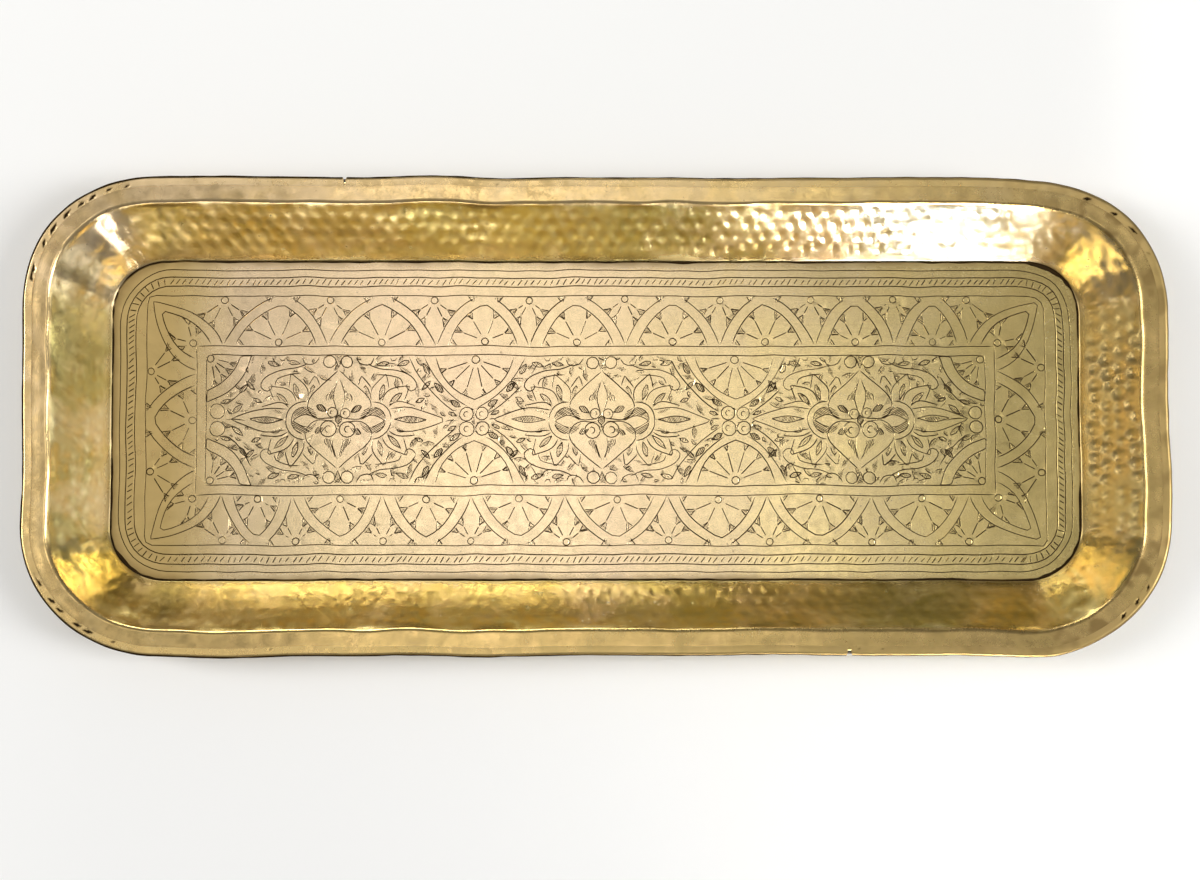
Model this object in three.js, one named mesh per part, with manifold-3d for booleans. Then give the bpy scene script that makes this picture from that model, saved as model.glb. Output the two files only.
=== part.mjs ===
// Hand-raised brass serving tray. One sheet of brass is raised into a pan with leaning walls and a
// flat flange. The flange's cut edge butts against a wire, and two lengths of brass strip are folded
// over the wire and the edge together. They meet in two open butt joints, one on each long side.
// Millimetres, +Z up. The origin is the centre of the pan's underside. +X runs along the tray.

import * as THREE from 'three';
import { mergeVertices } from 'three/addons/utils/BufferGeometryUtils.js';
import Module from 'manifold-3d';

// Whole tray, measured over the edge strips
const LENGTH = 600;
const WIDTH = 253;
const HEIGHT = 35;
const CORNER_RADIUS = 70;

// Pan: bends are measured on the middle of the sheet
const SHEET_THICKNESS = 1.2;
const FLANGE_WIDTH = 13;
const WALL_RUN = 27;
const FOOT_BEND_RADIUS = 6;
const RIM_BEND_RADIUS = 3;

// Edge: the strip hooks over the wire and lies on both sides of the flange
const WIRE_DIAMETER = 1.6;
const STRIP_THICKNESS = 0.6;
const STRIP_WIDTH = 5;
const EDGE_CLEARANCE = 0.3;

// Joints in the strips, this far from the middle of the long sides and on opposite sides of it
const JOINT_OFFSET = 132;
const BACK_JOINT_GAP = 1.1;
const FRONT_JOINT_GAP = 2;
const WIRE_JOINT_GAP = 0.5;

// Facets
const STEPS_PER_CORNER = 12;
const STEPS_PER_BEND = 5;
const STEPS_ROUND_STRIP = 8;
const STEPS_ROUND_WIRE = 10;

const COLUMNS = 4 * STEPS_PER_CORNER;
const COLUMN_ANGLE = (2 * Math.PI) / COLUMNS;
const SAME_POINT = 1e-4;

// The nose is the round outer part of the strip. Its centre, the wire and the flange are level.
const WIRE_RADIUS = WIRE_DIAMETER / 2;
const NOSE_INNER_RADIUS = Math.max(WIRE_RADIUS, SHEET_THICKNESS / 2) + EDGE_CLEARANCE;
const NOSE_OUTER_RADIUS = NOSE_INNER_RADIUS + STRIP_THICKNESS;
const LIP_INNER_HALF = SHEET_THICKNESS / 2 + EDGE_CLEARANCE;
const LIP_OUTER_HALF = LIP_INNER_HALF + STRIP_THICKNESS;
const FLANGE_LEVEL = HEIGHT - NOSE_OUTER_RADIUS;
const PAN_EDGE_INSET = NOSE_OUTER_RADIUS + WIRE_RADIUS + EDGE_CLEARANCE;

const wasm = await Module();
wasm.setup();

// ---------- Rounded rectangles ----------
// A rounded rectangle is a circle whose four quarters are pulled apart. Every section below is
// turned on the lathe about a corner's centre, and then its quarters move out to the tray's corners.

/** Distance from a corner's centre of a point that lies `inset` inside the tray's outline. */
function radiusAt(inset) {
  return CORNER_RADIUS - inset;
}

/** Merges shared points, and leaves out triangles that have shrunk to a line. */
function closed(geometry) {
  geometry.deleteAttribute('normal');
  geometry.deleteAttribute('uv');
  const merged = mergeVertices(geometry, SAME_POINT);
  const index = merged.getIndex().array;
  const kept = [];
  for (let i = 0; i < index.length; i += 3) {
    const [a, b, c] = index.slice(i, i + 3);
    if (a !== b && b !== c && c !== a) {
      kept.push(a, b, c);
    }
  }
  merged.setIndex(kept);
  return merged;
}

/** Turns a section, given as [radius, height] points, into a ring or dish with the tray's plan. */
function roundedRectangle(section) {
  const points = section.map(([radius, height]) => new THREE.Vector2(radius, height));
  const geometry = new THREE.LatheGeometry(points, COLUMNS, COLUMN_ANGLE / 2, 2 * Math.PI);
  geometry.rotateX(Math.PI / 2);
  const position = geometry.getAttribute('position');
  const facetScale = 1 / Math.cos(COLUMN_ANGLE / 2);
  for (let i = 0; i < position.count; i += 1) {
    const x = position.getX(i);
    const y = position.getY(i);
    if (Math.hypot(x, y) > SAME_POINT) {
      position.setX(i, x * facetScale + Math.sign(x) * (LENGTH / 2 - CORNER_RADIUS));
      position.setY(i, y * facetScale + Math.sign(y) * (WIDTH / 2 - CORNER_RADIUS));
    }
  }
  return closed(geometry);
}

/** Points on an arc about [radius, height], from one angle to another. */
function arc(centre, size, from, to, steps) {
  const points = [];
  for (let i = 0; i <= steps; i += 1) {
    const angle = from + ((to - from) * i) / steps;
    points.push([centre[0] + size * Math.cos(angle), centre[1] + size * Math.sin(angle)]);
  }
  return points;
}

// ---------- Solids ----------

function toSolid(geometry) {
  return new wasm.Manifold(new wasm.Mesh({
    numProp: 3,
    vertProperties: new Float32Array(geometry.getAttribute('position').array),
    triVerts: new Uint32Array(geometry.getIndex().array),
  }));
}

function toGeometry(solid) {
  const { vertProperties, triVerts } = solid.getMesh();
  const geometry = new THREE.BufferGeometry();
  geometry.setAttribute('position', new THREE.BufferAttribute(new Float32Array(vertProperties), 3));
  geometry.setIndex(new THREE.BufferAttribute(new Uint32Array(triVerts), 1));
  return geometry;
}

/** An upright block with the given plan, taller than the tray, to cut the edge pieces with. */
function cutter(plan) {
  const shape = new THREE.Shape(plan.map(([x, y]) => new THREE.Vector2(x, y)));
  const geometry = new THREE.ExtrudeGeometry(shape, { depth: 2 * HEIGHT, bevelEnabled: false });
  return toSolid(closed(geometry));
}

// ---------- Pan ----------

/** The middle line of the sheet from the axis to the cut edge, each point with its lean. */
function panMiddleLine() {
  const floorLevel = SHEET_THICKNESS / 2;
  const rimCorner = radiusAt(FLANGE_WIDTH);
  const footCorner = rimCorner - WALL_RUN;
  const lean = Math.atan2(FLANGE_LEVEL - floorLevel, WALL_RUN);
  const footStart = footCorner - FOOT_BEND_RADIUS * Math.tan(lean / 2);
  const rimEnd = rimCorner + RIM_BEND_RADIUS * Math.tan(lean / 2);
  const line = [{ radius: 0, height: floorLevel, lean: 0 }];
  for (let i = 0; i <= STEPS_PER_BEND; i += 1) {
    const angle = (lean * i) / STEPS_PER_BEND;
    line.push({
      radius: footStart + FOOT_BEND_RADIUS * Math.sin(angle),
      height: floorLevel + FOOT_BEND_RADIUS * (1 - Math.cos(angle)),
      lean: angle,
    });
  }
  for (let i = STEPS_PER_BEND; i >= 0; i -= 1) {
    const angle = (lean * i) / STEPS_PER_BEND;
    line.push({
      radius: rimEnd - RIM_BEND_RADIUS * Math.sin(angle),
      height: FLANGE_LEVEL - RIM_BEND_RADIUS * (1 - Math.cos(angle)),
      lean: angle,
    });
  }
  line.push({ radius: radiusAt(PAN_EDGE_INSET), height: FLANGE_LEVEL, lean: 0 });
  return line;
}

/** One face of the sheet: side is -1 for the underside and +1 for the top. */
function panFace(side) {
  const offset = (side * SHEET_THICKNESS) / 2;
  return panMiddleLine().map(({ radius, height, lean }) => [
    radius - offset * Math.sin(lean),
    height + offset * Math.cos(lean),
  ]);
}

function panGeometry() {
  return roundedRectangle([...panFace(-1), ...panFace(1).reverse()]);
}

// ---------- Edge strips ----------

/** One side of the folded strip: a lip, the round nose, and the other lip. */
function foldedLine(noseRadius, lipHalf) {
  const centre = [radiusAt(NOSE_OUTER_RADIUS), FLANGE_LEVEL];
  const lipEnd = radiusAt(STRIP_WIDTH);
  const reach = Math.PI - Math.asin(lipHalf / noseRadius);
  return [
    [lipEnd, FLANGE_LEVEL - lipHalf],
    ...arc(centre, noseRadius, -reach, reach, STEPS_ROUND_STRIP),
    [lipEnd, FLANGE_LEVEL + lipHalf],
  ];
}

function stripRing() {
  const outside = foldedLine(NOSE_OUTER_RADIUS, LIP_OUTER_HALF);
  const inside = foldedLine(NOSE_INNER_RADIUS, LIP_INNER_HALF).reverse();
  return toSolid(roundedRectangle([...outside, ...inside, outside[0]]));
}

/** Everything on one side (-1 left, +1 right) of a line that steps from joint to joint. */
function stripSide(side) {
  const back = -JOINT_OFFSET + (side * BACK_JOINT_GAP) / 2;
  const front = JOINT_OFFSET + (side * FRONT_JOINT_GAP) / 2;
  return cutter([
    [side * LENGTH, -WIDTH],
    [side * LENGTH, WIDTH],
    [back, WIDTH],
    [back, 0],
    [front, 0],
    [front, -WIDTH],
  ]);
}

function stripGeometry(side) {
  return toGeometry(stripRing().intersect(stripSide(side)));
}

// ---------- Wire ----------

function wireRing() {
  const centre = [radiusAt(NOSE_OUTER_RADIUS), FLANGE_LEVEL];
  return toSolid(roundedRectangle(arc(centre, WIRE_RADIUS, 0, 2 * Math.PI, STEPS_ROUND_WIRE)));
}

/** One length of wire, bent round the tray, with its ends facing each other at the back. */
function wireGeometry() {
  const half = WIRE_JOINT_GAP / 2;
  const joint = cutter([[-half, 0], [half, 0], [half, WIDTH], [-half, WIDTH]]);
  return toGeometry(wireRing().subtract(joint));
}

// ---------- Tray ----------

function metal(color, roughness) {
  return new THREE.MeshStandardMaterial({ color, roughness, metalness: 1 });
}

function piece(name, geometry, material) {
  const mesh = new THREE.Mesh(geometry, material);
  mesh.name = name;
  return mesh;
}

const tray = new THREE.Group();
tray.name = 'brass_tray';
tray.add(
  piece('tray_pan', panGeometry(), metal(0xc9a55f, 0.34)),
  piece('edge_strip_left', stripGeometry(-1), metal(0xc4a05c, 0.3)),
  piece('edge_strip_right', stripGeometry(1), metal(0xc4a05c, 0.3)),
  piece('edge_wire', wireGeometry(), metal(0x4a4642, 0.6)),
);

export default tray;
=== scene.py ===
"""Brass serving tray: hammered pan with an engraved floor, bound edge, studio floor, lights, camera.

Lengths in this script are millimetres, in the same frame as the CAD, until a mesh is written.
"""
import math

import bpy
import numpy as np
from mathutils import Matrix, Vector
from mathutils.geometry import delaunay_2d_cdt
from mathutils.kdtree import KDTree


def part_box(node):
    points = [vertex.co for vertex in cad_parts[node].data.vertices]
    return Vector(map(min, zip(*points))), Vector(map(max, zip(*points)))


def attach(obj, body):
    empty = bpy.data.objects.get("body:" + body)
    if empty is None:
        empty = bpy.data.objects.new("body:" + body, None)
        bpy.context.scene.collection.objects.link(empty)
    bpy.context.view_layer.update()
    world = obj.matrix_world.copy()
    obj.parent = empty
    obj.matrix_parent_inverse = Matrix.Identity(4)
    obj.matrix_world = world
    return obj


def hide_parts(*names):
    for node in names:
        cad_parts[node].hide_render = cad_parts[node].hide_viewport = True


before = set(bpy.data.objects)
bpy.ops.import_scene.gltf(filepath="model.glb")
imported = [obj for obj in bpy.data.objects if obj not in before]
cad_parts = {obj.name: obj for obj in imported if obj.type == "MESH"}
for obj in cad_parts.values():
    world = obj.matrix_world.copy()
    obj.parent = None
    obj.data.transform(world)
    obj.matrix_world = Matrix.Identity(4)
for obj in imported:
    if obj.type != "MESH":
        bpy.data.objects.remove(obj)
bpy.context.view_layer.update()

MM = 0.001

# Sizes read from the frame
STRIP_BOXES = [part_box("edge_strip_left"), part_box("edge_strip_right")]
HALF_LENGTH = max(high.x for _, high in STRIP_BOXES) / MM
HALF_WIDTH = max(high.y for _, high in STRIP_BOXES) / MM
TOP = max(high.z for _, high in STRIP_BOXES) / MM
PAN_EDGE = HALF_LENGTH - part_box("tray_pan")[1].x / MM
EDGE_LEVEL = TOP - (TOP - STRIP_BOXES[0][0].z / MM) / 2

# Sizes the pan is raised to, as in the CAD
CORNER_RADIUS = 70.0
SHEET = 1.2
FLANGE_WIDTH = 13.0
WALL_RUN = 27.0
STRIP_WIDTH = 5.0
STRIP_THICKNESS = 0.6
WIRE_RADIUS = 0.8
NOSE_RADIUS = TOP - EDGE_LEVEL
JOINT_OFFSET = 132.0
BACK_JOINT_GAP = 1.1
FRONT_JOINT_GAP = 2.0

# Bends are tighter on the visible sheet than in the CAD
FOOT_BEND = 1.7
RIM_BEND = 2.4

# Foot of the wall, and the share of the outline's unevenness that reaches it
FOOT_INSET = FLANGE_WIDTH + WALL_RUN
FOOT_SHARE = 0.25

# The engraved floor is a closed plate let into the pan, and the crease at its edge hides the seam
FLOOR_TOP = SHEET
FLOOR_INSET = FOOT_INSET + 0.6
RECESS_LEVEL = 0.5
PLATE_UNDERSIDE = 0.56

ANCHOR_X = HALF_LENGTH - CORNER_RADIUS
ANCHOR_Y = HALF_WIDTH - CORNER_RADIUS
REFERENCE_RADIUS = CORNER_RADIUS - FLANGE_WIDTH
QUARTER = REFERENCE_RADIUS * math.pi / 2
SIDES = (2 * ANCHOR_X, QUARTER, 2 * ANCHOR_Y, QUARTER, 2 * ANCHOR_X, QUARTER, 2 * ANCHOR_Y, QUARTER)
LOOP = sum(SIDES)


# ---------- Smooth random fields ----------

def ripple_2d(seed, shortest, longest, count):
    """A smooth random field of about unit size over x and y."""
    rng = np.random.default_rng(seed)
    angle = rng.uniform(0, 2 * math.pi, count)
    wave = 2 * math.pi / rng.uniform(shortest, longest, count)
    phase = rng.uniform(0, 2 * math.pi, count)

    def field(x, y):
        total = np.zeros(np.broadcast(x, y).shape)
        for a, k, p in zip(angle, wave, phase):
            total = total + np.cos(k * (x * math.cos(a) + y * math.sin(a)) + p)
        return total / math.sqrt(count / 2) / 1.5
    return field


def ripple_loop(seed, shortest, longest, count):
    """A smooth random function of the distance round the tray, which closes on itself."""
    rng = np.random.default_rng(seed)
    turns = np.round(LOOP / rng.uniform(shortest, longest, count))
    phase = rng.uniform(0, 2 * math.pi, count)

    def field(s):
        total = np.zeros(np.shape(s))
        for n, p in zip(turns, phase):
            total = total + np.cos(2 * math.pi * n * s / LOOP + p)
        return total / math.sqrt(count / 2) / 1.5
    return field


# ---------- Plan of the tray ----------

def station(s):
    """Corner-centre path and outward direction at distance s, anticlockwise from the front left."""
    s = np.mod(np.asarray(s, float), LOOP)
    x = np.zeros_like(s)
    y = np.zeros_like(s)
    turn = np.zeros_like(s)
    start = 0.0
    corners = [(-ANCHOR_X, -ANCHOR_Y), (ANCHOR_X, -ANCHOR_Y), (ANCHOR_X, ANCHOR_Y), (-ANCHOR_X, ANCHOR_Y)]
    for i, length in enumerate(SIDES):
        here = (s >= start) & (s <= start + length)
        part = (s[here] - start) / length
        side = i // 2
        heading = -math.pi / 2 + side * math.pi / 2
        a = corners[side]
        b = corners[(side + 1) % 4]
        if i % 2 == 0:
            x[here] = a[0] + (b[0] - a[0]) * part
            y[here] = a[1] + (b[1] - a[1]) * part
            turn[here] = heading
        else:
            x[here] = b[0]
            y[here] = b[1]
            turn[here] = heading + part * math.pi / 2
        start += length
    return x, y, turn


FRONT_MIDDLE = ANCHOR_X
RIGHT_MIDDLE = SIDES[0] + SIDES[1] + ANCHOR_Y
BACK_MIDDLE = SIDES[0] + 2 * QUARTER + SIDES[2] + ANCHOR_X
LEFT_MIDDLE = LOOP - QUARTER - ANCHOR_Y
FRONT_RIGHT_CORNER = SIDES[0] + QUARTER / 2
BACK_RIGHT_CORNER = RIGHT_MIDDLE + ANCHOR_Y + QUARTER / 2
BACK_LEFT_CORNER = BACK_MIDDLE + ANCHOR_X + QUARTER / 2
FRONT_LEFT_CORNER = LOOP - QUARTER / 2


def near(s, centre, spread):
    """A soft bump of height 1 round the tray's edge at `centre`."""
    gap = np.mod(np.asarray(s, float) - centre + LOOP / 2, LOOP) - LOOP / 2
    return np.exp(-(gap / spread) ** 2)


edge_wobble = ripple_loop(3, 45, 140, 9)
inner_wobble = ripple_loop(5, 25, 70, 9)
foot_wobble = ripple_loop(6, 14, 75, 16)


# Bulges and hollows of the hand-made outline: how far out, where, and how long
BULGES = (
    (-2.6, BACK_RIGHT_CORNER + 30, 26), (0.5, BACK_RIGHT_CORNER - 26, 24),
    (2.4, BACK_LEFT_CORNER + 8, 34), (-1.2, FRONT_LEFT_CORNER + 26, 24),
    (-0.3, FRONT_RIGHT_CORNER - 24, 22), (1.3, RIGHT_MIDDLE - 40, 28),
    (-0.9, BACK_MIDDLE - 70, 150), (-1.7, FRONT_MIDDLE + 90, 180), (-0.8, FRONT_MIDDLE - 130, 60),
)


def outline_push(s):
    """How far the hand-made outline stands outside the regular one."""
    push = 0.4 * edge_wobble(s)
    for amount, centre, spread in BULGES:
        push += amount * near(s, centre, spread)
    return push


def in_plan(s, inset, push_share=1.0):
    """Plan position of the point `inset` inside the outline at distance s."""
    ax, ay, turn = station(s)
    reach = CORNER_RADIUS - inset + push_share * outline_push(s)
    return ax + reach * np.cos(turn), ay + reach * np.sin(turn)


def ring_at(s, inset, level, push_share=1.0):
    """Points round the tray. The inset and the level may change on the way."""
    x, y = in_plan(s, inset, push_share)
    return np.stack([x, y, level + np.zeros(len(x))], 1)


# ---------- Meshes ----------

def new_mesh(name, points, faces, smooth=True, sharp_angle=None):
    """An object from millimetre points and faces."""
    mesh = bpy.data.meshes.new(name)
    mesh.from_pydata((np.asarray(points, float) * MM).tolist(), [], faces)
    mesh.validate()
    mesh.shade_smooth() if smooth else mesh.shade_flat()
    if sharp_angle is not None:
        mesh.set_sharp_from_angle(angle=math.radians(sharp_angle))
    piece = bpy.data.objects.new(name, mesh)
    bpy.context.scene.collection.objects.link(piece)
    return piece


def ring_faces(rows, columns, closed_rows=False):
    """Quads between rings of points, numbered ring by ring: each row is a closed ring."""
    faces = []
    for r in range(rows if closed_rows else rows - 1):
        a = r * columns
        b = ((r + 1) % rows) * columns
        for c in range(columns):
            d = (c + 1) % columns
            faces.append((a + c, a + d, b + d, b + c))
    return faces


def bar_faces(rows, columns):
    """Quads along a bar of closed rings, and a face at each end."""
    last = (rows - 1) * columns
    ends = [tuple(range(columns)), tuple(last + c for c in reversed(range(columns)))]
    return ring_faces(rows, columns) + ends


def add_attribute(piece, name, values):
    layer = piece.data.attributes.new(name, "FLOAT", "POINT")
    layer.data.foreach_set("value", np.asarray(values, np.float32))


def keep(piece, node, slot, *materials):
    """Gives a finished piece its materials and the root body, and hides the CAD node it stands for; the slot
    is not used.
    """
    for material in materials:
        piece.data.materials.append(material)
    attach(piece, "root")
    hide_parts(node)
    return piece


# ---------- Hammered wall ----------

LEAN = math.atan2(EDGE_LEVEL - SHEET / 2, WALL_RUN)
WALL_LENGTH = WALL_RUN / math.cos(LEAN)
DENT_PITCH = 7.9
DENT_ROWS = (10.0, 18.6, 27.2, 36.0)
DENT_RADIUS = 2.2
DENT_STRETCH = 1.35
DENT_DEPTH = 0.33
WALL_SWELL = 0.16
CORNER_HAMMERING = 0.1


def dent_centres():
    """Every punch mark as (distance round the tray, distance up the wall, size, breadth)."""
    rng = np.random.default_rng(11)
    count = round(LOOP / DENT_PITCH)
    centres = []
    for row, height in enumerate(DENT_ROWS):
        for i in range(count):
            s = (i + 0.5 * (row % 2)) * LOOP / count + rng.normal(0, 0.75)
            broad = 1 + 0.4 * near(s, BACK_MIDDLE + 130, 110) + 0.25 * near(s, RIGHT_MIDDLE, 70)
            centres.append((s, height + rng.normal(0, 0.9), rng.uniform(0.72, 1.12), broad))
    return np.array(centres)


DENTS = dent_centres()


def corner_share(s):
    """1 in the middle of a corner, 0 on the straight sides."""
    total = np.zeros(np.shape(s))
    for centre in (FRONT_RIGHT_CORNER, BACK_RIGHT_CORNER, BACK_LEFT_CORNER, FRONT_LEFT_CORNER):
        total = total + near(s, centre, 38)
    return np.clip(total * 1.2, 0, 1)


strength_wobble = ripple_loop(12, 30, 120, 9)


def dent_strength(s, t):
    """How strongly each part of the wall was struck."""
    up = t / WALL_LENGTH
    strength = 0.24 + 0.1 * strength_wobble(s) - 0.1 * near(s, LEFT_MIDDLE, 70)
    strength += 0.45 * near(s, BACK_MIDDLE + 130, 90) * np.clip(0.3 + up, 0, 1)
    strength += 0.25 * near(s, BACK_MIDDLE, 70) * np.clip(1.5 - up, 0, 1)
    strength += 0.75 * near(s, BACK_MIDDLE - 120, 75)
    strength += 0.8 * near(s, RIGHT_MIDDLE + 5, 62)
    strength += 0.55 * near(s, FRONT_MIDDLE - 120, 130) * np.clip(1.25 - up, 0, 1)
    strength += 0.25 * near(s, FRONT_MIDDLE + 60, 90) * np.clip(1.1 - up, 0, 1)
    strength += 0.3 * near(s, LEFT_MIDDLE + 30, 45) * np.clip(1.2 - 1.4 * up, 0, 1)
    return np.clip(strength, 0.08, 1.15) * (1 - 0.62 * corner_share(s))


def dent_depth(s, t):
    """How far the round punch marks sink the wall, from 0 to about 1."""
    flat_s = np.mod(s.ravel(), LOOP)
    flat_t = t.ravel()
    depth = np.zeros(flat_s.shape)
    order = np.argsort(flat_s)
    sorted_s = flat_s[order]
    for ds, dt, size, broad in DENTS:
        radius = DENT_RADIUS * size * broad
        reach = 2.0 * radius
        for turn in (-LOOP, 0, LOOP):
            first, last = np.searchsorted(sorted_s, (ds + turn - reach, ds + turn + reach))
            if first == last:
                continue
            rows = order[first:last]
            gap = flat_s[rows] - ds - turn
            distance = np.hypot(gap, (flat_t[rows] - dt) / DENT_STRETCH) / radius
            depth[rows] = np.maximum(depth[rows], size * np.exp(-distance ** 3))
    return depth.reshape(s.shape)


wall_swell = ripple_2d(13, 45, 130, 8)
corner_hammering = ripple_2d(14, 7, 17, 26)


def wall_relief(s, t):
    """Displacement of the sheet along its normal, on the wall."""
    fade = np.clip(t / 3.0, 0, 1) * np.clip((WALL_LENGTH - t) / 3.5, 0, 1)
    relief = -DENT_DEPTH * dent_depth(s, t) * dent_strength(s, t)
    relief += WALL_SWELL * wall_swell(s, t * 2.2)
    relief += corner_share(s) * CORNER_HAMMERING * corner_hammering(s, t)
    return relief * fade


# ---------- Pan body ----------
# The sheet is two skins that meet on its middle line, so that each can be finely hammered.

COLUMNS = 1700
column_s = np.arange(COLUMNS) * LOOP / COLUMNS
EDGE_RISE = 0.6
BEND_STEPS = 5
CREASE_WANDER = 0.24
FLANGE_PLANISH = 0.05


def crease(s):
    """How far the uneven foot of the wall wanders inwards."""
    return CREASE_WANDER * foot_wobble(s)


def flange_level(inset):
    """The flange rises a little to its edge, which keeps it flush with the strip."""
    share = min(1.0, max(0.0, (FLANGE_WIDTH - 1.0 - inset) / 7.0))
    return EDGE_LEVEL + EDGE_RISE * share ** 1.3


def sheet_line(foot_bend, wall_rows, flange_steps):
    """Middle of the sheet from the foot outwards: (inset, height, lean, distance up the wall)."""
    half_turn = math.tan(LEAN / 2)
    start = foot_bend * half_turn
    end = WALL_LENGTH - RIM_BEND * half_turn
    flange_start = FLANGE_WIDTH - RIM_BEND * half_turn
    points = []
    if foot_bend:
        for i in range(BEND_STEPS + 1):
            angle = LEAN * i / BEND_STEPS
            points.append((FOOT_INSET + start - foot_bend * math.sin(angle),
                           SHEET / 2 + foot_bend * (1 - math.cos(angle)), angle, 0.0))
    for i in range(1 if foot_bend else 0, wall_rows):
        t = start + (end - start) * i / wall_rows
        points.append((FOOT_INSET - t * math.cos(LEAN), SHEET / 2 + t * math.sin(LEAN), LEAN, t))
    for i in range(BEND_STEPS, -1, -1):
        angle = LEAN * i / BEND_STEPS
        points.append((flange_start + RIM_BEND * math.sin(angle),
                       EDGE_LEVEL - RIM_BEND * (1 - math.cos(angle)), angle, WALL_LENGTH))
    for i in range(1, flange_steps + 1):
        inset = flange_start + (PAN_EDGE - flange_start) * i / flange_steps
        points.append((inset, flange_level(inset), 0.0, WALL_LENGTH))
    return points


flange_planish = ripple_2d(16, 9, 40, 16)


def sheet_rows(line, side, worked):
    """Rings of one face of the sheet, from the foot out to the edge.

    The side is 1 or -1 on the sheet's own faces, and nearer to 0 towards its middle.
    """
    rings = []
    for inset, height, lean, t in line:
        shift = wall_relief(column_s, np.full(COLUMNS, t)) if worked and 0 < t < WALL_LENGTH else 0.0
        level = 0.0
        if worked and t >= WALL_LENGTH:
            planish = flange_planish(column_s, np.full(COLUMNS, inset))
            level = FLANGE_PLANISH * planish * min(1, max(0, inset - STRIP_WIDTH) / 3)
        normal = shift + side * SHEET / 2
        bend = 0.3 * inner_wobble(column_s) * math.exp(-((WALL_LENGTH - t) / 3) ** 2) * (inset > 11)
        out = inset + normal * math.sin(lean) + crease(column_s) * max(0, 1 - t / 5) + bend
        up = height + normal * math.cos(lean) + level
        if side > 0:
            up = np.maximum(up, RECESS_LEVEL)
        share = FOOT_SHARE + (1 - FOOT_SHARE) * t / WALL_LENGTH
        rings.append(ring_at(column_s, out, up, share))
    return rings


def plan_fill(ring, spacing):
    """Triangles inside a closed ring and over a grid of inner points: (points, faces, origins)."""
    low = ring.min(0) + spacing
    high = ring.max(0) - spacing
    corner = CORNER_RADIUS - FOOT_INSET
    inner = []
    for x in np.arange(low[0], high[0], spacing):
        for y in np.arange(low[1], high[1], spacing):
            dx = max(0.0, abs(x) - ANCHOR_X)
            dy = max(0.0, abs(y) - ANCHOR_Y)
            if math.hypot(dx, dy) < corner - spacing * 0.8:
                inner.append((float(x), float(y)))
    verts = [Vector(p) for p in ring.tolist()] + [Vector(p) for p in inner]
    loop = list(range(len(ring)))
    result = delaunay_2d_cdt(verts, [], [loop], 1, 1e-5)
    assert len(result[0]) == len(verts)
    return np.array([tuple(v) for v in result[0]]), result[2], result[3]


def add_fill(points, faces, ring_start, ring, spacing, flip):
    """Closes a level ring of the mesh with a flat filled floor."""
    filled, triangles, origin = plan_fill(ring[:, :2], spacing)
    number = {}
    for i, source in enumerate(origin):
        if source[0] < len(ring):
            number[i] = ring_start + source[0]
        else:
            number[i] = len(points)
            points.append((filled[i][0], filled[i][1], ring[0, 2]))
    for triangle in triangles:
        named = [number[i] for i in triangle]
        faces.append(tuple(reversed(named)) if flip else tuple(named))


MIDDLE_GAP = 0.02
MIDDLE_FLOOR = 0.25
FILL_INSET = FOOT_INSET + 3.5
FILL_SPACING = 16.0
WALL_ROWS = 28
UNDERSIDE_WALL_ROWS = 23
FLANGE_ROWS = 6


def face_line(side):
    """The line of a skin's own face, which is sharp at the foot on the inside."""
    if side > 0:
        return sheet_line(0.0, WALL_ROWS, FLANGE_ROWS)
    return sheet_line(FOOT_BEND, UNDERSIDE_WALL_ROWS, FLANGE_ROWS)


def middle_line():
    """The coarse line of a skin's hidden face, in the middle of the sheet."""
    return sheet_line(0.0, 4, 3)


def build_skin(side):
    """One skin of the pan: +1 is the inside of the tray and -1 its underside.

    Known fault: the fills are wound the other way to the rings, so the shading breaks where they meet.
    """
    def level_ring(inset, level):
        return ring_at(column_s, inset + crease(column_s), level, FOOT_SHARE)

    middle_level = MIDDLE_FLOOR + side * MIDDLE_GAP
    middle = sheet_rows(middle_line(), side * 2 * MIDDLE_GAP / SHEET, False)
    rings = [level_ring(FILL_INSET, RECESS_LEVEL if side > 0 else 0.0)]
    rings += sheet_rows(face_line(side), side, True) + middle[::-1]
    rings += [level_ring(FOOT_INSET + 1.2, middle_level), level_ring(FILL_INSET, middle_level)]
    if side < 0:
        rings = rings[::-1]
    points = [tuple(p) for ring in rings for p in ring]
    faces = ring_faces(len(rings), COLUMNS)
    add_fill(points, faces, 0, rings[0], FILL_SPACING, False)
    add_fill(points, faces, (len(rings) - 1) * COLUMNS, rings[-1], FILL_SPACING, True)
    return new_mesh("pan_inside" if side > 0 else "pan_underside", points, faces)


# ---------- Edge strips and wire ----------

STRIP_STEP = 0.65
PLEAT_GROUPS = (
    (BACK_LEFT_CORNER, 9, 8.0, 1.0), (FRONT_LEFT_CORNER, 7, 8.6, 0.8),
    (BACK_RIGHT_CORNER, 5, 9.6, 0.45), (FRONT_RIGHT_CORNER, 4, 10.4, 0.42),
    (FRONT_MIDDLE + JOINT_OFFSET + 12, 4, 4.2, 0.2), (FRONT_MIDDLE - 150, 5, 9.0, 0.12),
    (BACK_MIDDLE + 60, 5, 11.0, 0.1),
)
PLEAT_SINK = 0.13
NOSE_SHIFT = 0.1
edge_dents = ripple_2d(21, 3, 14, 22)
nose_wobble = ripple_loop(22, 12, 50, 10)


def pleat_centres():
    """Every pleat as (distance round the tray, inset, slope, amount)."""
    rng = np.random.default_rng(23)
    pleats = []
    for centre, count, pitch, depth in PLEAT_GROUPS:
        for i in range(count):
            s = centre + (i - (count - 1) / 2) * pitch + rng.normal(0, 2.0)
            pleats.append((s, 4.1 + rng.normal(0, 0.35), rng.uniform(1.7, 3.2),
                           depth * rng.uniform(0.12, 1.1)))
    return pleats


PLEATS = pleat_centres()


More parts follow.
